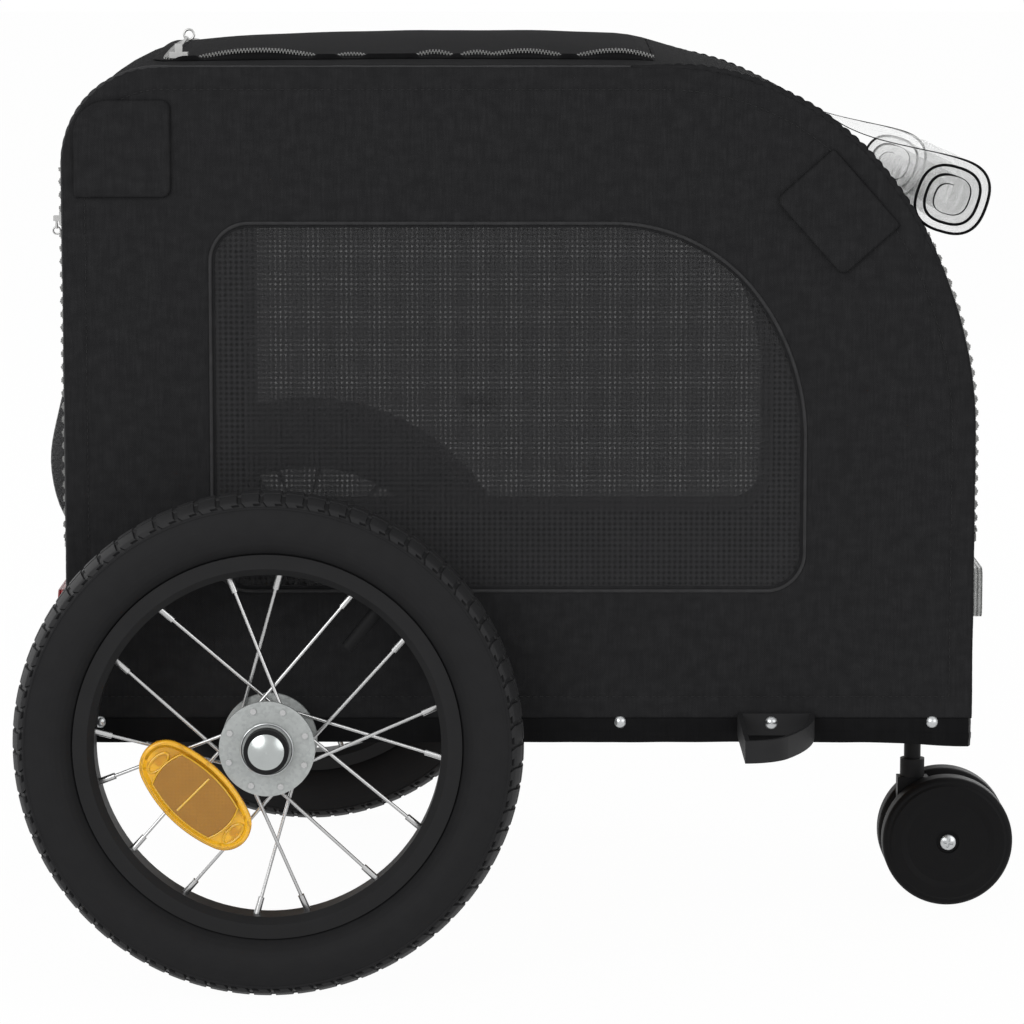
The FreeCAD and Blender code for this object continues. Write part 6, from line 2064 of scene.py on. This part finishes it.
@dataclass
class HubHighlightRings:
    """A thin bright steel ring round each hub's dust cap: a painted highlight for the light on the edge of the hub's
    boss.
    """

    axle: Triple = (-160.5, -283.0, 152.5)
    radius: float = 15.3
    wire: float = 0.55
    points: int = 96

    def build(self) -> None:
        """Builds both rings."""
        ring = on_circle((self.axle[0], self.axle[2]), self.radius, circle(self.points))
        radii = np.full(self.points, self.wire)
        draft = Draft().tube(upright(ring, self.axle[1]), radii, (0, 1, 0), closed=True)
        for word, made in draft.sides():
            settle(made.piece(f"hub_highlight_ring_{word}", BRIGHT), f"wheel_{word}", "bright_steel")


@dataclass
class CasterScrews:
    """Cross-recessed heads on the ends of the caster's axle."""

    axle: Pair = (270.4, 42.6)
    face: float = 27.0
    radius: float = 4.9
    edge: float = 0.15
    inner: Pair = (4.5, 0.15)
    inner_rings: int = 26
    rise: float = 1.9
    fall_share: float = 0.75
    arm: Pair = (0.8, 3.2)
    arm_turn: float = 0.2
    recess: float = 1.8
    points: int = 96
    sharp: float = 30.0

    def build(self) -> None:
        """Builds both heads."""
        angles = circle(self.points)
        rows = []
        for radius in (self.radius, self.radius - self.edge, *np.linspace(*self.inner, self.inner_rings)):
            cross = np.abs(on_circle((0.0, 0.0), radius, angles + self.arm_turn))
            slim, long = cross.min(1) < self.arm[0], cross.max(1) < self.arm[1]
            sunk = np.where(slim & long, self.recess, 0.0)
            fall = 1 - self.fall_share * (radius / self.radius) ** 2
            crown = self.rise * fall if radius < self.radius else 0.0
            rows.append(upright(on_circle(self.axle, radius, angles), -self.face - crown + sunk))
        draft = Draft().grid(np.array(rows), wrap=True).fan(rows[-1], rows[-1].mean(0))
        for word, made in draft.sides():
            head = made.piece(f"caster_screw_head_{word}", BRIGHT, sharp=self.sharp)
            settle(head, "caster", "bright_steel")


@dataclass
class Closures:
    """The zips of the hatch, the rear door and the front screen, each a U round what it closes."""

    canopy: Canopy
    roof_side: float = 179.8
    roof_back: float = 4.8
    roof_bend: float = 9.0
    roof_waves: tuple[Triple, ...] = (
        (-169.0, 36.0, 4.4), (-112.0, 9.0, 1.3), (-62.0, 11.0, 2.6), (-36.0, 10.0, 2.4), (-7.0, 22.0, 3.2),
        (48.0, 24.0, 4.0),
    )
    rear_side: float = 198.7
    rear_lift: float = 0.3
    rear_bend: float = 14.0
    front_side: float = 206.0
    front_top: float = 452.0
    front_bend: float = 16.0
    dip: float = 1.9

    def route(self, end: float, turn: float, side: float, bend: float) -> np.ndarray:
        """A U-shaped path from the right end across to the left end."""
        return bent_path(((end, -side), (turn, -side), (turn, side), (end, side)), bend)

    def build(self) -> None:
        """Builds the three zips."""
        hatch, door = self.canopy.hatch_runs(), self.canopy.door_runs()
        path = self.route(hatch[1], hatch[0] - self.roof_back, self.roof_side, self.roof_bend)
        ZipChain("roof_zip", path, "roof_flap", self.roof_waves, crest=2.6, pitch=1.9, seat=1.0,
                 tooth=(0.5, 1.15, 0.5), inward=-1.0, fold=HATCH_FOLD).build()
        path = self.route(door[1], door[0] + self.rear_lift, self.rear_side, self.rear_bend)
        ZipChain("rear_zip", path, "rear_door", dip=self.dip, seat=2.6, tooth=(0.65, 1.6, 1.0),
                 inward=-1.0).build()
        top, foot = (SHELL.run_of_front_z(z) for z in (self.front_top, self.canopy.screen_foot))
        path = self.route(top, foot, self.front_side, self.front_bend)
        ZipChain("front_zip", path, "frame", dip=self.dip, seat=2.3, tooth=(0.65, 1.6, 1.1)).build()


# Solids that stay, with the finish of each

SOLID_FINISHES: dict[Finish, tuple[str, ...]] = {
    POWDER: ("base_rail_right", "base_rail_left", "base_cross_tubes", "axle_receivers", "side_hoop_right",
             "side_hoop_left", "top_cross_bars", "caster_socket", "drawbar_socket", "caster_stem"),
    PLYWOOD: ("floor_board",),
    ABS: ("hoop_sockets", "corner_connectors", "axle_collars", "caster_housing"),
    STRIP: ("wheel_guards",),
    BRIGHT: ("rail_screws", "guard_bolts", "wheel_axles", "caster_axle", "hub_bearings_right",
             "hub_bearings_left"),
    RED: ("rear_reflectors",),
    CLEAR: ("front_reflectors",),
    BUTYL: ("inner_tube_right", "inner_tube_left"),
    ENAMEL: ("rim_right", "rim_left"),
    WIRE: ("spokes_right", "spokes_left"),
    ZINC: ("hub_shell_right", "hub_shell_left"),
    NICKEL: ("roof_zip_slider", "roof_zip_pull", "rear_zip_slider", "rear_zip_pull"),
    CHROME: ("axle_button_right", "axle_button_left"),
    CASTER: ("caster_wheel_right", "caster_wheel_left"),
}


def dress_solids() -> None:
    """Gives every solid that stays its finish."""
    for finish, names in SOLID_FINISHES.items():
        for name in names:
            slots = frame["nodes"][name].data.materials
            slots.clear()
            slots.append(finish.material())
            LOG.info("solid %s is %s", name, finish.name)


# Studio


@dataclass
class Studio:
    """A pale floor, a white surround and soft lamps at a plain level.

    Each lamp has a name, a place and a size in metres, and its power in watts.
    """

    floor_half: float = 40.0
    floor_glow: float = 0.975
    world_light: float = 0.55
    lamps: tuple[tuple[str, Triple, float, float], ...] = (
        ("key_lamp", (-1.8, -3.2, 1.8), 2.4, 54.0),
        ("fill_lamp", (2.6, -2.6, 1.3), 2.6, 26.0),
        ("top_lamp", (0.2, 0.8, 3.2), 2.6, 4.0),
        ("far_lamp", (2.0, 3.2, 1.4), 2.4, 32.0),
        ("rear_lamp", (-3.2, 1.6, 1.2), 2.6, 28.0),
    )
    target: Triple = (0.0, 0.0, 0.3)

    def build(self) -> None:
        """Builds the floor, the world and the lamps."""
        scene = bpy.context.scene
        scene.view_settings.view_transform = "Standard"
        self.floor()
        world = bpy.data.worlds.new("studio_white")
        world.use_nodes = True
        scene.world = world
        tree = world.node_tree
        tree.nodes.clear()
        white = linear("#ffffff")
        seen = add_node(tree, "Background", {"Color": white, "Strength": 1.0})
        light = add_node(tree, "Background", {"Color": white, "Strength": self.world_light})
        mix = add_node(tree, "MixShader", {0: self.seen(tree), 1: light.outputs[0], 2: seen.outputs[0]})
        add_node(tree, "OutputWorld", {0: mix.outputs[0]})
        for name, place, size, power in self.lamps:
            data = bpy.data.lights.new(name, "AREA")
            data.shape = "DISK"
            data.size = size
            data.energy = power
            lamp = bpy.data.objects.new(name, data)
            lamp.location = place
            lamp.rotation_euler = (Vector(self.target) - Vector(place)).to_track_quat("-Z", "Y").to_euler()
            scene.collection.objects.link(lamp)

    def seen(self, tree: Tree) -> Socket:
        """Tells what is looked at from what only lights the scene.

        Args:
            tree: The world's or the floor's tree.

        Returns:
            A socket that is one for what the camera, a reflection or a clear piece sees.
        """
        rays = add_node(tree, "LightPath").outputs
        ends = {0: rays["Is Camera Ray"], 1: rays["Is Glossy Ray"]}
        looks = add_node(tree, "Math", ends, operation="MAXIMUM").outputs[0]
        ends = {0: looks, 1: rays["Is Transmission Ray"]}
        return add_node(tree, "Math", ends, operation="MAXIMUM").outputs[0]

    def floor(self) -> None:
        """Builds the floor: white to the eye, with a faint shadow of the trailer."""
        made = bpy.data.materials.new("pale_studio_floor")
        made.use_nodes = True
        tree = made.node_tree
        tree.nodes.clear()
        paint = add_node(tree, "BsdfDiffuse", {"Color": linear("#fdfdfd")})
        glow = add_node(tree, "Emission", {"Color": linear("#ffffff"), "Strength": 1.0})
        share = add_node(tree, "Math", {0: self.seen(tree), 1: self.floor_glow}, operation="MULTIPLY")
        mix = add_node(tree, "MixShader", {0: share.outputs[0], 1: paint.outputs[0], 2: glow.outputs[0]})
        add_node(tree, "OutputMaterial", {0: mix.outputs[0]})
        mesh = bpy.data.meshes.new("studio_floor")
        half = self.floor_half
        corners = [(-half, -half, 0), (half, -half, 0), (half, half, 0), (-half, half, 0)]
        mesh.from_pydata(corners, [], [(0, 1, 2, 3)])
        mesh.materials.append(made)
        floor = bpy.data.objects.new("studio_floor", mesh)
        bpy.context.scene.collection.objects.link(floor)
        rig.stage(floor)


def main() -> None:
    """Builds the camera, the cloth, the closures, the finishes and the studio, and notes the sizes."""
    logging.basicConfig(level=logging.INFO, format="%(name)s: %(message)s")
    PhotoCamera().build()
    canopy = Canopy()
    wheels = (Tyres(), SpokeReflectors(), HubHighlightRings(), CasterScrews())
    for part in (SidePanels(), canopy, Seams(), RolledCover(), CornerFlaps(), *wheels, Closures(canopy)):
        part.build()
    dress_solids()
    Studio().build()
    boxes = {"cad": CAD_BOX, "visual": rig.bounds()}
    sizes = {name: [[round(float(v), 5) for v in corner] for corner in box] for name, box in boxes.items()}
    with open(SIZE_FILE, "w") as handle:
        json.dump(sizes, handle)


if __name__ == "__main__":
    main()
